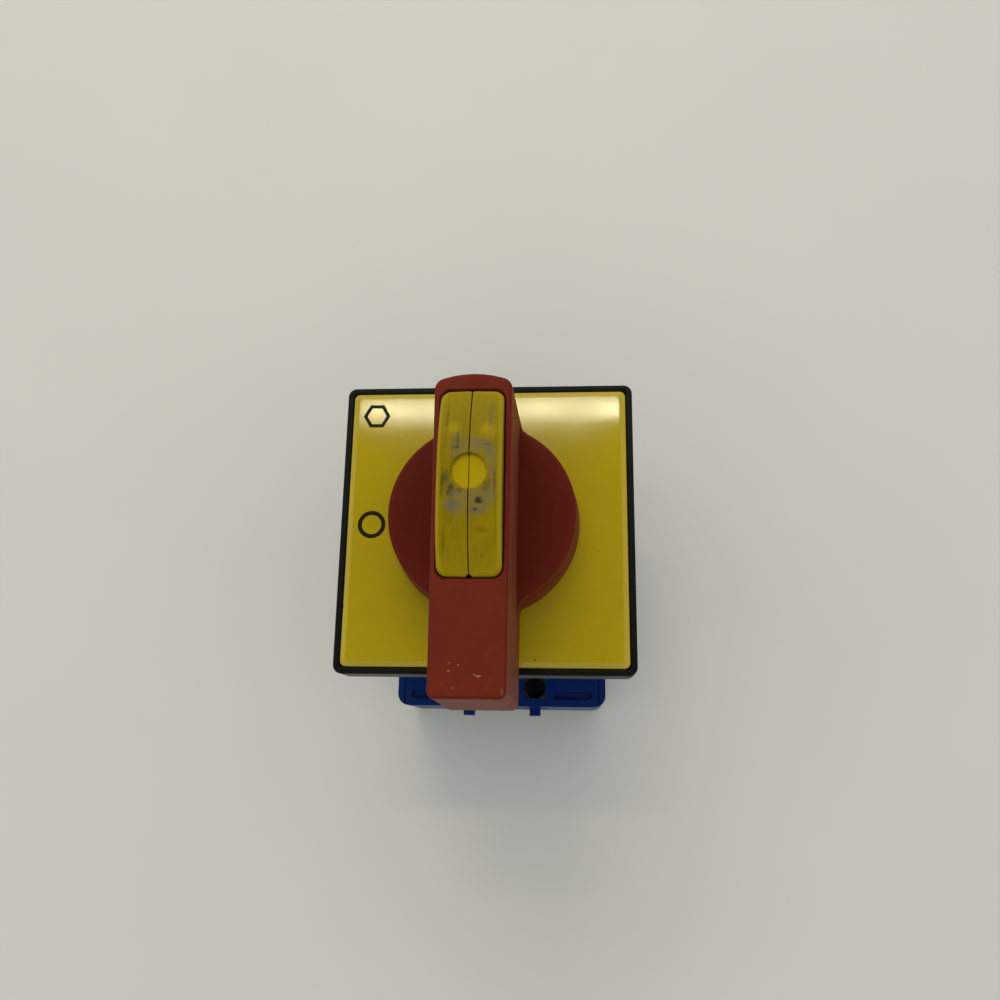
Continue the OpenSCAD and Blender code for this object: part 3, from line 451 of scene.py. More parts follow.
# %% [markdown]
# ## Years of hands
#
# Grease and dust have settled round the slide's dimple, where a thumb never quite reaches, and
# the dimple itself is rubbed clean. A dark ring at the dimple's rim, left showing as an arc on its
# upper wall, is painted shade, and so is the deeper red of the handle's disc. The bar's end
# carries a few pale nicks, and a few specks lie on the plate. Each spot is a ragged patch at a
# measured place, so it stays put on the part.

# %% Grime, nicks, specks and painted shade
GRIME = rgb(66, 58, 36)
ASH = rgb(112, 106, 82)
MOSS = rgb(84, 74, 8)
PALE = rgb(206, 168, 156)
SUNNY = rgb(184, 156, 5)

lay_patches(yellow_satin, [
    ((-0.2, -2.6, 109.4), (5.0, 4.6, 3.0), ASH, 0.4, 0.5, 1.0, 700.0),
    ((0.6, 6.2, 109.4), (4.6, 3.2, 3.0), ASH, 0.34, 0.5, 1.0, 700.0),
    ((-3.0, 10.0, 109.0), (2.0, 2.4, 2.0), SUNNY, 0.5, 0.3, 0.8, 600.0),
    ((3.0, 9.6, 109.0), (1.8, 2.2, 2.0), SUNNY, 0.5, 0.3, 0.8, 600.0),
    ((-2.3, 7.0, 109.5), (1.38, 2.88, 2.0), ASH, 0.55, 0.5, 0.8, 1500.0),
    ((-2.1, 7.6, 109.5), (0.38, 2.04, 2.0), GRIME, 0.5, 0.4, 0.7, 1800.0),
    ((-2.6, 6.3, 109.5), (1.0, 0.42, 2.0), GRIME, 0.45, 0.4, 0.7, 1800.0),
    ((1.9, 7.2, 109.5), (2.25, 1.32, 2.0), ASH, 0.55, 0.5, 0.8, 1500.0),
    ((3.75, 5.6, 109.6), (0.94, 2.04, 2.0), ASH, 0.75, 0.4, 0.7, 1500.0),
    ((3.2, 6.9, 109.5), (1.12, 0.48, 2.0), GRIME, 0.4, 0.4, 0.8, 1500.0),
    ((4.3, 2.0, 109.6), (0.88, 3.36, 2.0), ASH, 0.6, 0.5, 0.8, 1300.0),
    ((4.75, 0.0, 109.6), (0.28, 3.48, 2.5), GRIME, 0.6, 0.3, 0.7, 1300.0),
    ((3.4, -1.2, 109.7), (1.19, 1.8, 2.0), GRIME, 0.55, 0.5, 0.9, 1600.0),
    ((3.6, -3.4, 109.6), (1.62, 3.12, 2.0), ASH, 0.55, 0.6, 0.9, 1300.0),
    ((1.95, -3.65, 109.6), (0.95, 0.85, 2.0), rgb(52, 44, 44), 0.95, 0.35, 0.6, 1600.0),
    ((1.5, -5.5, 109.4), (1.88, 1.08, 2.0), ASH, 0.75, 0.5, 0.8, 1500.0),
    ((1.4, -5.4, 109.4), (0.56, 0.48, 2.0), GRIME, 0.8, 0.5, 0.7, 2200.0),
    ((-4.1, 0.7, 109.7), (0.94, 1.92, 2.0), GRIME, 0.7, 0.4, 0.8, 1500.0),
    ((-3.2, -1.6, 109.7), (1.19, 1.44, 2.0), GRIME, 0.75, 0.5, 0.8, 1600.0),
    ((-2.3, -2.6, 109.6), (1.38, 0.84, 2.0), ASH, 0.7, 0.5, 0.8, 1500.0),
    ((-2.7, -4.6, 109.5), (1.88, 1.8, 2.0), rgb(104, 98, 84), 0.8, 0.45, 0.8, 1500.0),
    ((-1.4, -1.9, 109.6), (0.75, 0.6, 2.0), GRIME, 0.5, 0.5, 0.8, 1800.0),
    ((-4.75, -0.2, 109.6), (0.5, 3.4, 2.5), MOSS, 0.85, 0.3, 0.8, 1000.0),
    ((-4.4, -10.9, 108.2), (0.3, 4.0, 2.5), MOSS, 0.6, 0.3, 0.8, 1000.0),
    ((-4.2, 12.0, 108.6), (0.5, 4.0, 2.5), MOSS, 0.5, 0.4, 0.9, 1000.0),
    ((4.0, 13.0, 108.4), (0.62, 4.32, 2.5), ASH, 0.5, 0.4, 0.9, 1000.0),
    ((2.4, -9.0, 108.8), (1.8, 1.0, 2.0), MOSS, 0.45, 0.4, 1.0, 800.0),
    ((2.46, -13.3, 107.3), (0.44, 0.36, 2.0), GRIME, 0.5, 0.3, 0.7, 1800.0),
    # Painted shade: a dark ring at the dimple's rim. The cleaner patch over it sits a little off
    # centre, so an arc of the ring stays on the upper wall as painted shade.
    ((0.0, 1.9, 108.9), (3.75, 3.75, 1.6), rgb(78, 62, 4), 0.85, 0.02, 0.1, 900.0),
    ((0.1, 1.7, 108.9), (3.6, 3.6, 3.0), SUNNY, 0.95, 0.03, 0.2, 900.0),
], rough=0.12)
lay_patches(red_plastic, [
    ((2.1, -34.35, 105.0), (0.7, 0.22, 1.0), PALE, 0.6, 0.35, 0.9, 2600.0),
    ((1.4, -34.1, 105.0), (0.22, 0.25, 1.0), PALE, 0.35, 0.35, 0.9, 2600.0),
    ((-3.2, -33.5, 105.0), (0.28, 0.18, 1.0), PALE, 0.5, 0.3, 0.9, 2600.0),
    ((-1.5, -32.4, 105.0), (0.2, 0.24, 1.0), PALE, 0.35, 0.3, 0.9, 2600.0),
    ((-2.3, -36.4, 105.0), (0.32, 0.2, 1.0), PALE, 0.25, 0.3, 0.9, 2600.0),
    ((-3.1, -32.1, 105.0), (0.3, 0.3, 1.0), PALE, 0.2, 0.4, 0.8, 2600.0),
    ((6.3, -37.0, 104.8), (0.35, 0.8, 1.0), rgb(160, 110, 84), 0.4, 0.3, 0.9, 1800.0),
    # Painted shade: the handle's low disc is darkened to a deeper red, as the shade where it lies
    # below the bar.
    ((0.0, 0.0, 84.0), (30.0, 30.0, 8.0), rgb(84, 13, 3), 0.65, 0.02, 0.5, 100.0),
], rough=0.05)
lay_patches(yellow_gloss, [
    ((14.5, 10.5, 74.8), (0.35, 0.3, 1.0), GRIME, 0.7, 0.3, 0.6, 2000.0),
    ((10.8, -28.9, 74.8), (0.35, 0.3, 1.0), GRIME, 0.7, 0.3, 0.6, 2000.0),
    ((-30.4, -17.8, 74.4), (0.3, 0.6, 1.0), GRIME, 0.9, 0.3, 0.6, 2000.0),
    ((24.0, -6.0, 74.8), (0.25, 0.2, 1.0), GRIME, 0.3, 0.3, 0.6, 2000.0),
    ((-18.0, 20.5, 74.8), (0.25, 0.2, 1.0), GRIME, 0.4, 0.3, 0.6, 2000.0),
])
print("slide finish has", len(yellow_satin.node_tree.nodes), "nodes")

# %% [markdown]
# ## The metal finishes
#
# The fastenings are zinc-plated steel with a faint blue-grey cloud, the springs are bright drawn
# wire, and the contact pieces are brass and copper that have started to tarnish. Brushed lines
# come from noise that is stretched along one direction.


# %% Metal recipe
def metal(name, colour, tarnish, rough, brushed=(1.0, 1.0, 30.0), tarnish_scale=260.0):
    """A plated or bare metal with cloudy tarnish and fine drawn lines."""
    material, tree, shader = new_material(name, Metallic=1.0)
    place = object_place(tree)
    clouds = noise(tree, place, tarnish_scale, 6.0, 0.65)
    drawn = add_node(tree, "ShaderNodeMapping", {"Vector": place, "Scale": brushed})
    lines = noise(tree, drawn.outputs[0], 900.0, 2.0)
    amount = math_node(tree, "SUBTRACT", clouds, 0.42)
    amount = math_node(tree, "MULTIPLY", amount, 5.0, clamp=True)
    edge = use_group(tree, RUBBED_EDGE, Gain=3.0, Breakup=0.4)
    amount = math_node(tree, "SUBTRACT", amount, edge.outputs["Mask"], clamp=True)
    base = blend_colour(tree, amount, colour, tarnish)
    sheen = math_node(tree, "MULTIPLY_ADD", amount, 0.2, rough)
    bump = add_node(tree, "ShaderNodeBump",
                    {"Height": lines, "Strength": 0.15, "Distance": 0.0001})
    tree.links.new(base, shader.inputs["Base Color"])
    tree.links.new(sheen, shader.inputs["Roughness"])
    tree.links.new(bump.outputs[0], shader.inputs["Normal"])
    return material


# %% The metals
zinc_steel = metal("zinc_plated_steel", rgb(196, 200, 204), rgb(150, 152, 150), 0.28)
spring_steel = metal("drawn_spring_wire", rgb(186, 186, 182), rgb(120, 118, 112), 0.22)
# Painted shade: the terminal screws are darkened steel, so their deep driver holes look dark.
shade_dark_screw = metal("shade_darkened_terminal_screw", rgb(52, 52, 54), rgb(30, 28, 26), 0.42)
brass_strip = metal("contact_brass", rgb(206, 172, 96), rgb(150, 116, 62), 0.25)
copper_bridge = metal("contact_copper", rgb(208, 132, 96), rgb(140, 78, 54), 0.28)
print("finishes made:", len(bpy.data.materials))

# %% [markdown]
# ## Modelling helpers
#
# Each visible moulding is built in millimetres in the frame's own axes and scaled to metres at
# the end. A piece starts as a block, a turned profile or a flat outline, its edges are beveled,
# and one piece is cut out of another where the real tool would have a core.


# %% Blocks, bevels and turned shapes
def block(bm, low, high):
    """Adds a box from its low corner to its high corner and returns its vertices."""
    low, high = Vector(low), Vector(high)
    size = high - low
    place = Matrix.Translation((low + high) / 2) @ Matrix.Diagonal((*size, 1.0))
    return bmesh.ops.create_cube(bm, size=1.0, matrix=place)["verts"]


def bevel_edges(bm, edges, width, segments):
    """Rounds the given edges."""
    return bmesh.ops.bevel(bm, geom=list(edges), offset=width, offset_type="OFFSET",
                           affect="EDGES", segments=segments, profile=0.5, material=-1,
                           loop_slide=True, clamp_overlap=False)


def round_corners(bm, corners, radius, segments=6):
    """Rounds the given corners of a lone flat face, and returns the face."""
    bmesh.ops.bevel(bm, geom=list(corners), offset=radius, offset_type="OFFSET",
                    affect="VERTICES", segments=segments, profile=0.5, material=-1)
    return bm.faces[:][0]


def highest_face(bm):
    """The level face that lies highest."""
    return max(bm.faces, key=lambda f: f.calc_center_median().z)


def level_edges(bm, z, tolerance=1e-4):
    """The edges that lie at one height and border a face that leaves it."""
    found = []
    for edge in bm.edges:
        if all(abs(v.co.z - z) < tolerance for v in edge.verts):
            if any(abs(f.normal.z) < 0.95 for f in edge.link_faces):
                found.append(edge)
    return found


def flat_face(bm, points, z):
    """One level face through the given (x, y) points."""
    return bm.faces.new([bm.verts.new((x, y, z)) for x, y in points])


def raise_face(bm, face, height):
    """Extrudes a level face along Z and returns the new top's vertices."""
    around = [face, *face.edges, *face.verts]
    raised = bmesh.ops.extrude_face_region(bm, geom=around)["geom"]
    top = [g for g in raised if isinstance(g, bmesh.types.BMVert)]
    bmesh.ops.translate(bm, verts=top, vec=(0, 0, height))
    return top


def turned(bm, profile, steps=128):
    """Spins a profile of (radius, z) points round the Z axis into a closed solid."""
    ring = [bm.verts.new((r, 0, z)) for r, z in profile]
    edges = [bm.edges.new(pair) for pair in zip(ring, ring[1:])]
    bmesh.ops.spin(bm, geom=ring + edges, axis=(0, 0, 1), cent=(0, 0, 0), steps=steps,
                   angle=math.tau, use_merge=True)
    bmesh.ops.remove_doubles(bm, verts=bm.verts, dist=1e-5)


def upright_cylinder(bm, centre, radius, low, high, steps=64):
    """Adds a cylinder along Z."""
    place = Matrix.Translation((centre[0], centre[1], (low + high) / 2))
    bmesh.ops.create_cone(bm, cap_ends=True, segments=steps, radius1=radius, radius2=radius,
                          depth=high - low, matrix=place)


# %% Objects, cuts and finishing
def link_mesh(bm, name):
    """Turns a bmesh into an object in the scene."""
    mesh = bpy.data.meshes.new(name)
    bm.to_mesh(mesh)
    bm.free()
    made = bpy.data.objects.new(name, mesh)
    bpy.context.scene.collection.objects.link(made)
    return made


def as_object(bm, name):
    """Turns a bmesh in millimetres into an object in metres, with its faces pointing outwards."""
    bmesh.ops.recalc_face_normals(bm, faces=bm.faces)
    bmesh.ops.scale(bm, vec=(MM, MM, MM), verts=bm.verts)
    return link_mesh(bm, name)


def box(name, low, high):
    """A box as an object of its own."""
    bm = bmesh.new()
    block(bm, low, high)
    return as_object(bm, name)


def post(name, radius, low, high, steps=64):
    """A cylinder round the Z axis as an object of its own."""
    bm = bmesh.new()
    upright_cylinder(bm, (0, 0), radius, low, high, steps)
    return as_object(bm, name)


def crossbar(name, y, z, radius, length, steps):
    """A cylinder along X as an object of its own."""
    place = Matrix.Translation((0, y, z)) @ Matrix.Rotation(math.pi / 2, 4, "Y")
    bm = bmesh.new()
    bmesh.ops.create_cone(bm, cap_ends=True, segments=steps, radius1=radius, radius2=radius,
                          depth=length, matrix=place)
    return as_object(bm, name)


def combine(target, others, operation="DIFFERENCE"):
    """Joins or cuts with other objects, which are used up."""
    for other in others:
        step = target.modifiers.new("combine", "BOOLEAN")
        step.operation = operation
        step.solver = "EXACT"
        step.object = other
    bpy.context.view_layer.update()
    seen = target.evaluated_get(bpy.context.evaluated_depsgraph_get())
    mesh = bpy.data.meshes.new_from_object(seen)
    target.modifiers.clear()
    target.data = mesh
    for other in others:
        bpy.data.objects.remove(other)
    return target


def smooth(piece, angle=32):
    """Smooth shading that stays crisp at real edges and flat on large faces."""
    piece.data.polygons.foreach_set("use_smooth", [True] * len(piece.data.polygons))
    piece.data.set_sharp_from_angle(angle=math.radians(angle))
    weighted = piece.modifiers.new("weighted", "WEIGHTED_NORMAL")
    weighted.keep_sharp = True
    return piece


def hand_over(piece, material, body, slot, *nodes):
    """Gives a finished piece its material and its body, and hides the nodes it stands for.

    The slot is not used.
    """
    piece.data.materials.clear()
    piece.data.materials.append(material)
    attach(piece, body)
    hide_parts(*nodes)
    bpy.context.view_layer.update()
    reach = [max(abs(corner[i]) for corner in piece.bound_box) / MM for i in range(3)]
    print(piece.name, "has", len(piece.data.polygons), "faces and reaches",
          [round(r, 2) for r in reach])
    return piece


def millimetres(node):
    """A node's low and high corner in millimetres."""
    return [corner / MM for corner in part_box(node)]


# %% [markdown]
# ## The handle
#
# The real handle is one moulding: a tall grip bar across a shallow disc. Its bar has an arched
# short end, a straight long end, and a soft edge of about a millimetre all round the top. Here
# the bar is an outline that is raised and then beveled, the disc is turned, and small webs fill
# the corners between them. The slot for the lock slide is cut last, as a core would leave it.

# %% Handle sizes
handle_low, handle_high = millimetres("handle")
frame_low, frame_high = millimetres("escutcheon_frame")
slide_low, slide_high = millimetres("lock_slide_right")
RIM_Z = frame_high.z
BAR_TOP = handle_high.z
BAR_BOTTOM = RIM_Z + 2.5
BAR_DRAFT = 0.5
BAR_END_DRAFT = 1.0
BAR_SHORT = handle_high.y - BAR_DRAFT
BAR_LONG = -handle_low.y - BAR_END_DRAFT
BAR_HALF = 7.45
BAR_END_HALF = 7.05
BAR_CORNER = 1.5
BAR_ARCH = 1.5
BAR_EDGE = 0.9
HUB_LOW = RIM_Z + 1.3
HUB_TOP = RIM_Z + 11.2
HUB_R = handle_high.x - 0.7
FLARE_R = 3.0
SLOT_GAP = 0.15
SLOT_HALF = slide_high.x + SLOT_GAP
SLOT_FLOOR = HUB_TOP + 0.5
SLOT_CORNER = 2.0
EDGE_SOFT = 0.3
GRIP_WALL = 2.0
BOSS_R = 9.5
RING_R_IN = 10.4
SQUARE_HALF = 3.95
SCREW_R = 2.2
SCREW_ROOM_R = 5.0
PIN_GAP = 0.15
PIN_GROOVE_HALF = 1.4
SLIDE_LIFT = 12.0
print("bar top", round(BAR_TOP, 2), "reach", round(BAR_SHORT, 2), round(BAR_LONG, 2))


# %% Grip bar
def grip_bar():
    """The bar with its arched end, drafted sides and soft top edge."""
    bm = bmesh.new()
    arch = [(BAR_HALF * t, BAR_SHORT - BAR_ARCH * t * t) for t in (-1, -0.75, -0.5, -0.25, 0,
                                                                    0.25, 0.5, 0.75, 1)]
    ends = [(BAR_END_HALF, -BAR_LONG), (-BAR_END_HALF, -BAR_LONG)]
    flat_face(bm, arch + ends, BAR_BOTTOM)
    corners = [v for v in bm.verts if abs(v.co.x) >= BAR_END_HALF - 1e-4]
    face = round_corners(bm, corners, BAR_CORNER)
    bottom = list(face.verts)
    raise_face(bm, face, BAR_TOP - BAR_BOTTOM)
    for vert in bottom:
        vert.co.x += math.copysign(BAR_DRAFT, vert.co.x) if abs(vert.co.x) > 3 else 0
        vert.co.y += BAR_DRAFT if vert.co.y > 0 else -BAR_END_DRAFT
    bmesh.ops.recalc_face_normals(bm, faces=bm.faces)
    bevel_edges(bm, level_edges(bm, BAR_TOP), BAR_EDGE, 5)
    bevel_edges(bm, level_edges(bm, BAR_BOTTOM), EDGE_SOFT, 2)
    return as_object(bm, "grip_bar")


# %% Hub disc and webs
def hub_disc():
    """The disc, whose rim leans in a little and has a rounded upper edge."""
    profile = [(0, HUB_LOW), (HUB_R + 0.6, HUB_LOW), (HUB_R + 0.7, HUB_LOW + 0.15)]
    for step in range(6):
        a = math.radians(90 * step / 5)
        profile.append((HUB_R - BAR_EDGE * (1 - math.cos(a)),
                        HUB_TOP - BAR_EDGE * (1 - math.sin(a))))
    profile.append((0, HUB_TOP))
    bm = bmesh.new()
    turned(bm, profile)
    return as_object(bm, "hub_disc")


def corner_webs():
    """Four small webs whose outer side is a fillet between the disc and the bar."""
    bm = bmesh.new()
    x = BAR_HALF + BAR_DRAFT / 2 + FLARE_R
    y = math.sqrt((HUB_R + FLARE_R) ** 2 - x * x)
    reach = math.atan2(y, x)
    arc = [(x + FLARE_R * math.cos(math.pi + reach * i / 8),
            y + FLARE_R * math.sin(math.pi + reach * i / 8)) for i in range(9)]
    for i in (-1, 1):
        for j in (-1, 1):
            points = [(i * px, j * py) for px, py in [(0.5, y * 0.6), (0.5, y)] + arc]
            face = flat_face(bm, points, HUB_LOW + 0.1)
            raise_face(bm, face, HUB_TOP - 0.5 - HUB_LOW)
    return as_object(bm, "corner_webs")


# %% Cores that are cut out of the handle
def rounded_prism(name, half, low_y, high_y, corner, low_z, high_z, flare=0.0):
    """A tall core with rounded corners. flare widens its last bit, to soften the mouth's edge."""
    bm = bmesh.new()
    face = flat_face(bm, [(half, low_y), (half, high_y), (-half, high_y), (-half, low_y)], low_z)
    if corner:
        face = round_corners(bm, bm.verts, corner)
    raise_face(bm, face, high_z - flare - low_z)
    if flare:
        bmesh.ops.recalc_face_normals(bm, faces=bm.faces)
        top = highest_face(bm)
        middle = (low_y + high_y) / 2
        for step in (1, 2):
            verts = raise_face(bm, top, flare / 2)
            grow = flare * (0.3 if step == 1 else 0.7)
            for vert in verts:
                vert.co.x += math.copysign(grow, vert.co.x)
                vert.co.y += math.copysign(grow, vert.co.y - middle)
            bm.faces.ensure_lookup_table()
            top = highest_face(bm)
        raise_face(bm, top, 3.0)
    return as_object(bm, name)


def ring_core():
    """The room under the hub, between its wall and the boss."""
    bm = bmesh.new()
    outer, roof, low = HUB_R - GRIP_WALL, HUB_TOP - GRIP_WALL, HUB_LOW - 1
    profile = [(RING_R_IN, low), (outer, low), (outer, roof), (RING_R_IN, roof), (RING_R_IN, low)]
    turned(bm, profile)
    return as_object(bm, "ring_core")


def stop_grooves():
    """Two blind grooves in the slot's walls for the stop pin."""
    pin_low, pin_high = millimetres("lock_stop_pin")
    centre = (pin_low + pin_high) / 2
    reach = pin_high.x + 0.1
    return box("stop_grooves", (-reach, centre.y - PIN_GROOVE_HALF, pin_low.z - PIN_GAP),
               (reach, centre.y + PIN_GROOVE_HALF, pin_high.z + SLIDE_LIFT + PIN_GAP))


# %% Build the handle
handle = grip_bar()
combine(handle, [hub_disc(), corner_webs(), post("boss", BOSS_R, handle_low.z, HUB_TOP - 1)],
        "UNION")
hollow_half = BAR_END_HALF - GRIP_WALL
shaft_top = millimetres("drive_shaft")[1].z
combine(handle, [
    rounded_prism("slot", SLOT_HALF, slide_low.y - SLOT_GAP, slide_high.y + SLOT_GAP, SLOT_CORNER,
                  SLOT_FLOOR, BAR_TOP, flare=0.25),
    rounded_prism("grip_hollow", hollow_half, -BAR_LONG + GRIP_WALL, -HUB_R - 1, 0.5, RIM_Z,
                  BAR_TOP - GRIP_WALL),
    rounded_prism("square", SQUARE_HALF, -SQUARE_HALF, SQUARE_HALF, 0, RIM_Z - 8,
                  shaft_top + 0.1),
    ring_core(),
    post("screw_hole", SCREW_R, shaft_top - 1, SLOT_FLOOR + 1),
    post("screw_room", SCREW_ROOM_R, shaft_top + 1.5, SLOT_FLOOR + 1),
    stop_grooves(),
])
handle.name = "handle_moulding"
smooth(handle)
hand_over(handle, red_plastic, "rotor", "red_handle", "handle")

# %% [markdown]
# ## The lock slide
#
# The slide is pressed in to run the switch and lifts to show a hole for padlocks. It is moulded
# in two halves, so a fine line runs along its middle and opens into a small notch at each end.
# One half is made as an outline, raised, cut across at regular steps, and its top points are
# moved onto the hump's curve. Then the long outer edge is rounded, and the other half is mirrored.

# %% Slide sizes
SLIDE_MID = (slide_low.y + slide_high.y) / 2
SLIDE_REACH = (slide_high.y - slide_low.y) / 2
SLIDE_HALF = slide_high.x
SLIDE_SPLIT = 0.08
SLIDE_FLOOR = slide_low.z
SLIDE_EDGE = 1.3
HUMP_POWER = 2.6
END_RISE = 0.3
HUMP = slide_high.z - BAR_TOP - END_RISE
NOTCH = 0.65
DIMPLE = (0.0, 1.9)
DIMPLE_R = 3.55
HUMP_CUTS = 32
WINDOW_R = 4.0
WINDOW_HALF = 11.0
WINDOW_DROP = 10.5
WINDOW_REACH = 9.0
PIN_HOLE_R = 1.27


def hump_height(y):
    """Height of the slide's top at y."""
    share = min(abs(y - SLIDE_MID) / SLIDE_REACH, 1)
    return BAR_TOP + END_RISE + HUMP * (1 - share ** HUMP_POWER)


print("slide hump rises", round(HUMP, 2), "mm")


# %% One half of the slide
def slide_half(side):
    """The half on the given side of the split, 1 for right and -1 for left."""
    bm = bmesh.new()
    points = [(SLIDE_SPLIT, slide_low.y + NOTCH), (SLIDE_SPLIT + NOTCH, slide_low.y),
              (SLIDE_HALF, slide_low.y), (SLIDE_HALF, slide_high.y),
              (SLIDE_SPLIT + NOTCH, slide_high.y), (SLIDE_SPLIT, slide_high.y - NOTCH)]
    flat_face(bm, points, SLIDE_FLOOR)
    outer = [v for v in bm.verts if v.co.x > SLIDE_HALF - 1e-4]
    raise_face(bm, round_corners(bm, outer, SLOT_CORNER, 7), BAR_TOP - SLIDE_FLOOR)
    for step in range(1, HUMP_CUTS):
        y = slide_low.y + 2 * SLIDE_REACH * step / HUMP_CUTS
        geometry = bm.verts[:] + bm.edges[:] + bm.faces[:]
        bmesh.ops.bisect_plane(bm, geom=geometry, plane_co=(0, y, 0), plane_no=(0, 1, 0))
    for vert in bm.verts:
        if vert.co.z > BAR_TOP - 1e-3:
            vert.co.z = hump_height(vert.co.y)
    bmesh.ops.recalc_face_normals(bm, faces=bm.faces)
    crest = [e for e in bm.edges if all(v.co.z > BAR_TOP for v in e.verts)
             and any(abs(f.normal.z) < 0.1 for f in e.link_faces)]
    outer = [e for e in crest if max(v.co.x for v in e.verts) > SLIDE_SPLIT + NOTCH + 0.01]
    inner = [e for e in crest if e not in outer]
    bevel_edges(bm, outer, SLIDE_EDGE, 5)
    bevel_edges(bm, [e for e in inner if e.is_valid], EDGE_SOFT, 3)
    if side < 0:
        bmesh.ops.scale(bm, vec=(-1, 1, 1), verts=bm.verts)
    return as_object(bm, "slide_half")


def dimple_core():
    """A shallow dish with a crisp rim and a rounded foot."""
    bm = bmesh.new()
    floor_z = hump_height(DIMPLE[1]) - 1.0
    profile = [(0, floor_z), (DIMPLE_R - 1.4, floor_z + 0.03), (DIMPLE_R - 0.7, floor_z + 0.2),
               (DIMPLE_R - 0.25, floor_z + 0.5), (DIMPLE_R, floor_z + 1.0),
               (DIMPLE_R + 0.1, floor_z + 3), (0, floor_z + 3)]
    turned(bm, profile, steps=96)
    bmesh.ops.translate(bm, verts=bm.verts, vec=(*DIMPLE, 0))
    return as_object(bm, "dimple_core")


def window_core():
    """The long round-ended hole that takes padlock shackles."""
    flat = WINDOW_HALF - WINDOW_R
    low = BAR_TOP - WINDOW_DROP
    made = box("window_core", (-WINDOW_REACH, SLIDE_MID - flat, low),
               (WINDOW_REACH, SLIDE_MID + flat, low + 2 * WINDOW_R))
    rounds = [crossbar("window_end", SLIDE_MID + sign * flat, low + WINDOW_R, WINDOW_R,
                       2 * WINDOW_REACH + 0.02, 48) for sign in (-1, 1)]
    return combine(made, rounds, "UNION")


def slide_cores():
    """Everything that is cut from a half."""
    pin_low, pin_high = millimetres("lock_stop_pin")
    centre = (pin_low + pin_high) / 2
    return [dimple_core(), window_core(),
            post("room", SCREW_ROOM_R, SLIDE_FLOOR - 1, SLIDE_FLOOR + 2.6),
            crossbar("pin_hole", centre.y, centre.z, PIN_HOLE_R, 16, 32)]


# %% Build both halves
for side, name in ((1, "right"), (-1, "left")):
    half = combine(slide_half(side), slide_cores())
    half.name = "slide_" + name
    smooth(half, 28)
    hand_over(half, yellow_satin, "lock_slide", "yellow_slide", "lock_slide_" + name)

# %% [markdown]
# ## The legend plate
#
# The yellow plate is a glossy moulding with a pillow edge: its border rolls down into the black
# frame. A rounded square is raised twice, its top is drawn in, and both loops are beveled.
# The marks are printed on it, so they are very thin pieces that stand just proud of the gloss.

# %% Legend plate
legend_low, legend_high = millimetres("legend_plate")
SHOULDER = 1.1
SHOULDER_RISE = 0.8
PLATE_CORNER = 1.2
LEGEND_T = 1.6
LEGEND_WALL = 1.4
LEGEND_BORE_R = 12.6
RIM_SOFT = 0.35


def rounded_square(bm, half, corner, z, segments=6):
    """A level square face with rounded corners."""
    flat_face(bm, [(half, -half), (half, half), (-half, half), (-half, -half)], z)
    return round_corners(bm, bm.verts, corner, segments)


def legend_body():
    """The plate without its holes."""
    half = legend_high.x
    shelf = legend_high.z - SHOULDER_RISE
    bm = bmesh.new()
    raise_face(bm, rounded_square(bm, half, PLATE_CORNER, legend_low.z), shelf - legend_low.z)
    bmesh.ops.recalc_face_normals(bm, faces=bm.faces)
    top = raise_face(bm, highest_face(bm), SHOULDER_RISE)
    inward = (half - SHOULDER) / half
    bmesh.ops.scale(bm, vec=(inward, inward, 1), verts=top)
    bmesh.ops.recalc_face_normals(bm, faces=bm.faces)
    bevel_edges(bm, level_edges(bm, legend_high.z), RIM_SOFT, 4)
    bevel_edges(bm, level_edges(bm, shelf), EDGE_SOFT, 3)
    return as_object(bm, "legend_moulding")


legend = legend_body()
inner = legend_high.x - LEGEND_WALL
combine(legend, [
    box("under", (-inner, -inner, legend_low.z - 1), (inner, inner, legend_high.z - LEGEND_T)),
    post("bore", LEGEND_BORE_R, legend_low.z - 1, legend_high.z + 1, steps=96),
])
smooth(legend, 40)
hand_over(legend, yellow_gloss, "housing", "yellow_legend", "legend_plate")

# %% Printed marks
INK_DEPTH = 0.05
INK_PROUD = 0.02
MARK_LINE = 0.9
RING_R = 3.05
marks_low, marks_high = millimetres("legend_marks")
MARK_LEFT = marks_low.x + RING_R
MARK_TOP = marks_high.y - RING_R


def ink_bed(bm, centre, size):
    """A thin printed bar."""
    low_z = legend_high.z - INK_DEPTH
    half = Vector(size) / 2
    block(bm, (centre[0] - half.x, centre[1] - half.y, low_z),
          (centre[0] + half.x, centre[1] + half.y, legend_high.z + INK_PROUD))


def ink_ring(bm, centre, outer, inner, steps):
    """A printed ring, or with few steps a printed polygon."""
    low_z = legend_high.z - INK_DEPTH
    high_z = legend_high.z + INK_PROUD
    ring = bmesh.new()
    turned(ring, [(inner, low_z), (outer, low_z), (outer, high_z), (inner, high_z),
                  (inner, low_z)], steps=steps)
    bmesh.ops.translate(ring, verts=ring.verts, vec=(*centre, 0))
    mesh = bpy.data.meshes.new("ring")
    ring.to_mesh(mesh)
    ring.free()
    bm.from_mesh(mesh)
    bpy.data.meshes.remove(mesh)


inked = bmesh.new()
ink_ring(inked, (MARK_LEFT, 0), RING_R, RING_R - MARK_LINE, 96)
ink_ring(inked, (MARK_LEFT, MARK_TOP), RING_R, RING_R - MARK_LINE, 6)
ink_bed(inked, (0, MARK_TOP), (MARK_LINE, 2 * RING_R))
marks = as_object(inked, "printed_marks")
smooth(marks)
hand_over(marks, mark_ink, "housing", "mark_ink", "legend_marks")

# %% [markdown]
# ## The black frame
#
# The frame is a shallow square tray with a rim that is flush with the plate's shoulder. Its top
# is inset by the rim's width and pushed down to the tray's floor, and the two rim edges are
# softened. The collar for the shaft, the fixing holes and the seal's groove are cut or joined on.

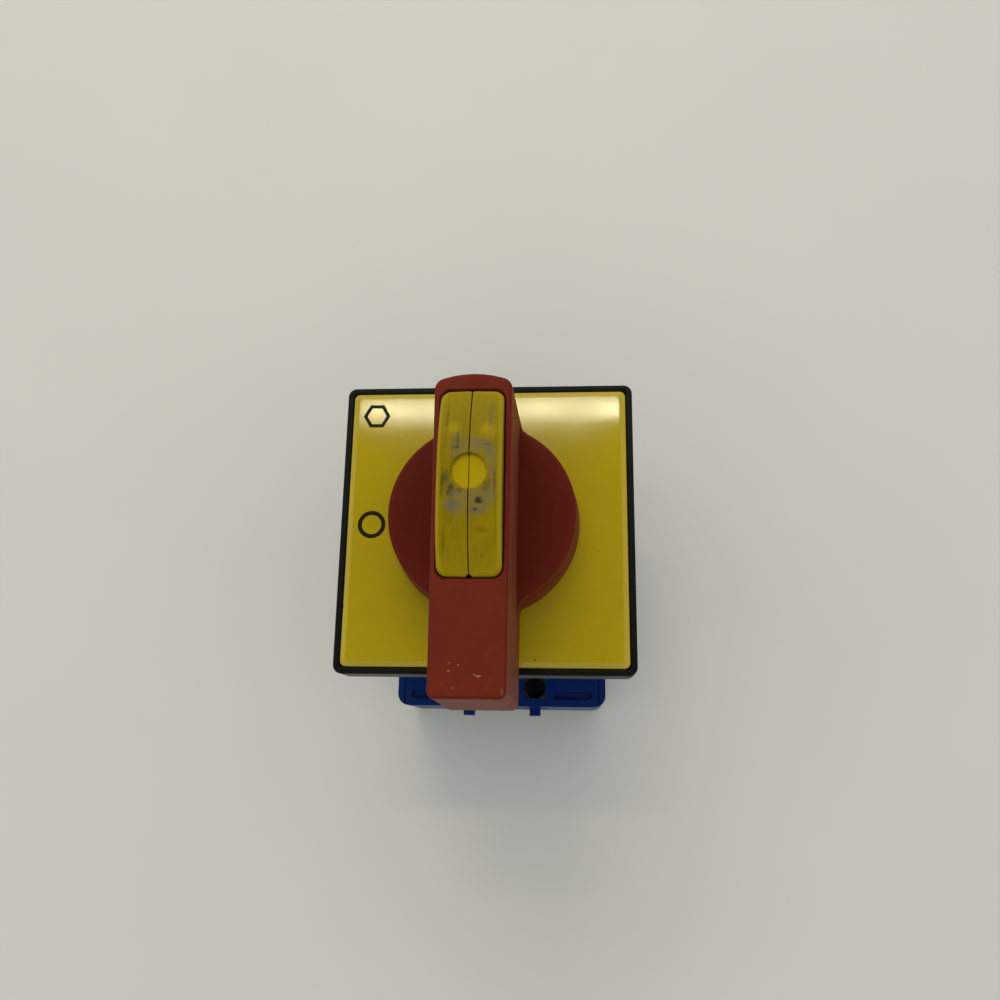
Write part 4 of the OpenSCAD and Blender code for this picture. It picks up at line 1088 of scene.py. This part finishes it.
# %% Frame
RIM_W = 1.4
FRAME_CORNER = 1.9
TRAY_FLOOR = legend_low.z
COLLAR_R = 12.1
COLLAR_H = 3.5
BORE_R = 9.58
FIXING_HALF = 24.0
FIXING_R = 2.25
GASKET_W = 2.5
seal_low, seal_high = millimetres("shaft_seal")
gasket_high = millimetres("panel_gasket")[1]


def frame_tray():
    """The tray with its rim."""
    bm = bmesh.new()
    outline = rounded_square(bm, frame_high.x, FRAME_CORNER, frame_low.z, segments=8)
    raise_face(bm, outline, frame_high.z - frame_low.z)
    bmesh.ops.recalc_face_normals(bm, faces=bm.faces)
    bmesh.ops.inset_region(bm, faces=[highest_face(bm)], thickness=RIM_W, use_even_offset=True)
    top = min((f for f in bm.faces if f.calc_center_median().z > frame_high.z - 0.01),
              key=lambda f: abs(f.calc_center_median().x) + abs(f.calc_center_median().y))
    raise_face(bm, top, TRAY_FLOOR - frame_high.z)
    bmesh.ops.recalc_face_normals(bm, faces=bm.faces)
    bevel_edges(bm, level_edges(bm, frame_high.z), RIM_SOFT, 4)
    bevel_edges(bm, level_edges(bm, frame_low.z), EDGE_SOFT, 2)
    return as_object(bm, "frame_moulding")


def gasket_groove():
    """The groove for the panel gasket in the rear face."""
    outer = gasket_high.x
    inner = outer - GASKET_W
    depth = gasket_high.z
    groove = box("groove", (-outer, -outer, frame_low.z - 1), (outer, outer, depth))
    island = box("island", (-inner, -inner, frame_low.z - 2), (inner, inner, depth + 1))
    return combine(groove, [island])


rim = frame_tray()
combine(rim, [post("collar", COLLAR_R, TRAY_FLOOR - 0.5, TRAY_FLOOR + COLLAR_H, steps=96)],
        "UNION")
holes = bmesh.new()
upright_cylinder(holes, (0, 0), BORE_R, frame_low.z - 1, frame_high.z, steps=96)
for i in (-1, 1):
    for j in (-1, 1):
        upright_cylinder(holes, (i * FIXING_HALF, j * FIXING_HALF), FIXING_R, frame_low.z - 2,
                         TRAY_FLOOR + 1, steps=32)
seal_groove = post("seal_groove", seal_high.x, seal_low.z, seal_high.z)
combine(rim, [as_object(holes, "holes"), seal_groove, gasket_groove()])
smooth(rim)
hand_over(rim, black_plastic, "housing", "black_plastic", "escutcheon_frame")

# %% [markdown]
# ## The decks, the flange and the other CAD parts
#
# The parts behind the panel already have their true shape, with all their slots and screw holes.
# What they lack is the small radius that every moulded edge has, which catches a line of light.
# A copy of the CAD mesh is merged, its flat triangles are joined into whole faces, and a Bevel
# modifier rounds the edges. The original then stands aside for the copy.


# %% Copies with soft edges
def refined(node, body, material, slot, width=0.2, segments=2, cores=()):
    """A copy of a CAD part with joined faces, shallow cores cut in, and rounded edges."""
    bm = bmesh.new()
    bm.from_mesh(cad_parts[node].data)
    bmesh.ops.remove_doubles(bm, verts=bm.verts, dist=1e-6)
    bmesh.ops.dissolve_limit(bm, angle_limit=math.radians(1), verts=bm.verts, edges=bm.edges)
    piece = link_mesh(bm, node + "_soft")
    if cores:
        combine(piece, cores)
    soften = piece.modifiers.new("soften", "BEVEL")
    soften.width = width * MM
    soften.segments = segments
    soften.limit_method = "ANGLE"
    soften.angle_limit = math.radians(40)
    soften.harden_normals = False
    smooth(piece, 35)
    return hand_over(piece, material, body, slot, node)


PANEL_DEPTH = 0.6
PANEL_MARGIN = 4.5
RIB_GROOVE = 1.2


def side_cores(node):
    """Shallow cores for a deck's long sides: a label field and three finger grooves."""
    deck_low, deck_high = millimetres(node)
    bm = bmesh.new()
    low_z = deck_low.z + PANEL_MARGIN
    high_z = deck_high.z - PANEL_MARGIN
    for side in (-1, 1):
        wall = side * deck_high.x
        near, far = sorted((wall - side * PANEL_DEPTH, wall + side))
        block(bm, (near, -12, low_z), (far, 6, high_z))
        for step in range(3):
            y = 11 + 3 * step
            block(bm, (near, y, low_z), (far, y + RIB_GROOVE, high_z))
    return as_object(bm, "side_cores")


for node in ("front_deck_housing", "rear_deck_housing"):
    refined(node, "housing", blue_plastic, "blue_plastic", 0.35, 3, [side_cores(node)])
refined("rear_cover", "housing", blue_plastic, "blue_plastic", 0.35, 3)
for node in ("mounting_flange", "latch_housing"):
    refined(node, "housing", black_plastic, "black_plastic", 0.3, 3)

# %% [markdown]
# ## Return springs
#
# Four small coil springs push the contact carriers back towards the cams. When the handle turns,
# the cams press the carriers outwards and the springs get shorter. A coil is a small ring of
# wire that is spun with a little rise at each step.

# %% Coils
WIRE_R = 0.3
WIRE_SIDES = 12
COIL_TURNS = 4
COIL_STEPS = 32


def coil(name, low, high):
    """A coil of round wire along X that fills the box between two corners."""
    bm = bmesh.new()
    centre = (low + high) / 2
    radius = (high.y - low.y) / 2 - WIRE_R
    start = Vector((low.x + WIRE_R, centre.y + radius, centre.z))
    ring = bmesh.ops.create_circle(bm, segments=WIRE_SIDES, radius=WIRE_R,
                                   matrix=Matrix.Translation(start))["verts"]
    steps = COIL_TURNS * COIL_STEPS
    rise = (high.x - low.x - 2 * WIRE_R) / steps
    bmesh.ops.spin(bm, geom=ring + list(bm.edges), axis=(1, 0, 0), cent=centre,
                   dvec=(rise, 0, 0), steps=steps, angle=COIL_TURNS * math.tau)
    bmesh.ops.holes_fill(bm, edges=[e for e in bm.edges if e.is_boundary])
    return as_object(bm, name)


for deck in ("front", "rear"):
    for side, way in (("right", 1), ("left", -1)):
        node = f"{deck}_return_spring_{side}"
        low, high = millimetres(node)
        spring = smooth(coil(node + "_coil", low, high), 50)
        hand_over(spring, spring_steel, "housing", "spring_steel", node)
        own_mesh(spring)

# %% [markdown]
# ## Finishes for the inner parts
#
# The springs, contacts, screws and cams are seen through the screw holes and the wire entries.
# Apart from the return springs they keep their CAD shapes, and each gets its slot's finish; the
# terminal screws get darkened steel, as painted shade for their deep holes.

# %% Inner parts
FINISHES = {
    "black_plastic": black_plastic, "seal_rubber": seal_rubber, "yellow_legend": yellow_gloss,
    "mark_ink": mark_ink, "red_handle": red_plastic, "yellow_slide": yellow_satin,
    "blue_plastic": blue_plastic, "ivory_plastic": ivory_plastic, "zinc_steel": zinc_steel,
    "spring_steel": spring_steel, "brass_strip": brass_strip, "copper_bridge": copper_bridge,
}
for name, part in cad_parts.items():
    for slot in part.material_slots:
        finish = FINISHES.get(slot.material.name.split(".")[0])
        # Painted shade for the deep driver holes.
        if name == "terminal_screws":
            finish = shade_dark_screw
        if finish is None:
            print("no finish for", name, slot.material.name)
        else:
            slot.material = finish
print("finishes placed on", len(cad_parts), "CAD parts")

# %% [markdown]
# ## The table and the light
#
# The switch lies on a pale laminate table. One long lamp above and behind it leaves a bright
# band across the glossy plate, and a broad soft light fills the room. The band's place follows
# from the plate's height, because a flat gloss works as a mirror.


# %% Table
def table_material():
    """Pale laminate with faint clouds and a low sheen."""
    material, tree, shader = new_material("pale_laminate", Roughness=0.55)
    clouds = noise(tree, object_place(tree), 14.0, 6.0)
    base = blend_colour(tree, clouds, rgb(226, 223, 214), rgb(218, 215, 206))
    tree.links.new(base, shader.inputs["Base Color"])
    return material


ground = bmesh.new()
bmesh.ops.create_grid(ground, x_segments=1, y_segments=1, size=1500)
bmesh.ops.translate(ground, verts=ground.verts, vec=(0, 0, cad_low.z / MM - 0.02))
table = as_object(ground, "table")
table.data.materials.append(table_material())
table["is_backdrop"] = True

# %% Lights
LAMP_HEIGHT = 1.0
LAMP_LEAN = math.radians(20.4)
legend_top = legend_high.z * MM


def area_light(name, place, lean, size, energy, colour=(1.0, 1.0, 1.0)):
    """A rectangular light that hangs level along X and leans towards -Y."""
    data = bpy.data.lights.new(name, "AREA")
    data.shape = "RECTANGLE"
    data.size, data.size_y = size
    data.energy = energy
    data.color = colour
    light = bpy.data.objects.new(name, data)
    light.location = place
    light.rotation_euler = (-lean, 0, 0)
    bpy.context.scene.collection.objects.link(light)
    return light


BAND_Y = 0.8 * legend_high.y * MM
lamp_place = (-0.09, BAND_Y + LAMP_HEIGHT * math.tan(LAMP_LEAN), legend_top + LAMP_HEIGHT)
area_light("long_lamp", lamp_place, LAMP_LEAN, (0.37, 0.022), 0.88, (1.0, 0.94, 0.66))
area_light("soft_window", (-0.25, 1.5, 1.3), math.radians(49), (1.2, 0.8), 7.2,
           (1.0, 0.975, 0.92))

# %% [markdown]
# ## The room
#
# A glossy plate shows what hangs over it. The room's ceiling is dim straight above and bright
# towards the walls, so the plate keeps its deep colour while light still comes from all sides.

# %% Room
ROOM_BRIGHT = (0.82, 0.86, 0.87, 1.0)
ROOM_DIM = (0.17, 0.17, 0.16, 1.0)
world = bpy.data.worlds.new("room")
world.use_nodes = True
sky = world.node_tree
split = add_node(sky, "ShaderNodeSeparateXYZ")
sky.links.new(sky.nodes.new("ShaderNodeTexCoord").outputs["Generated"], split.inputs[0])
above = add_node(sky, "ShaderNodeMapRange", {"Value": split.outputs["Z"], "From Min": 0.72,
                                             "From Max": 0.94}, interpolation_type="SMOOTHSTEP")
shade = blend_colour(sky, above.outputs["Result"], ROOM_BRIGHT, ROOM_DIM)
sky.links.new(shade, sky.nodes["Background"].inputs["Color"])
bpy.context.scene.world = world
print("room is dim above and bright at the walls")

# %% [markdown]
# ## The size
#
# The dressed model has to be as large as the drawing, so its box is printed in millimetres.

# %% Size
low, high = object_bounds()
print("visual box:", [round(x * 1000, 2) for x in (*low, *high)])
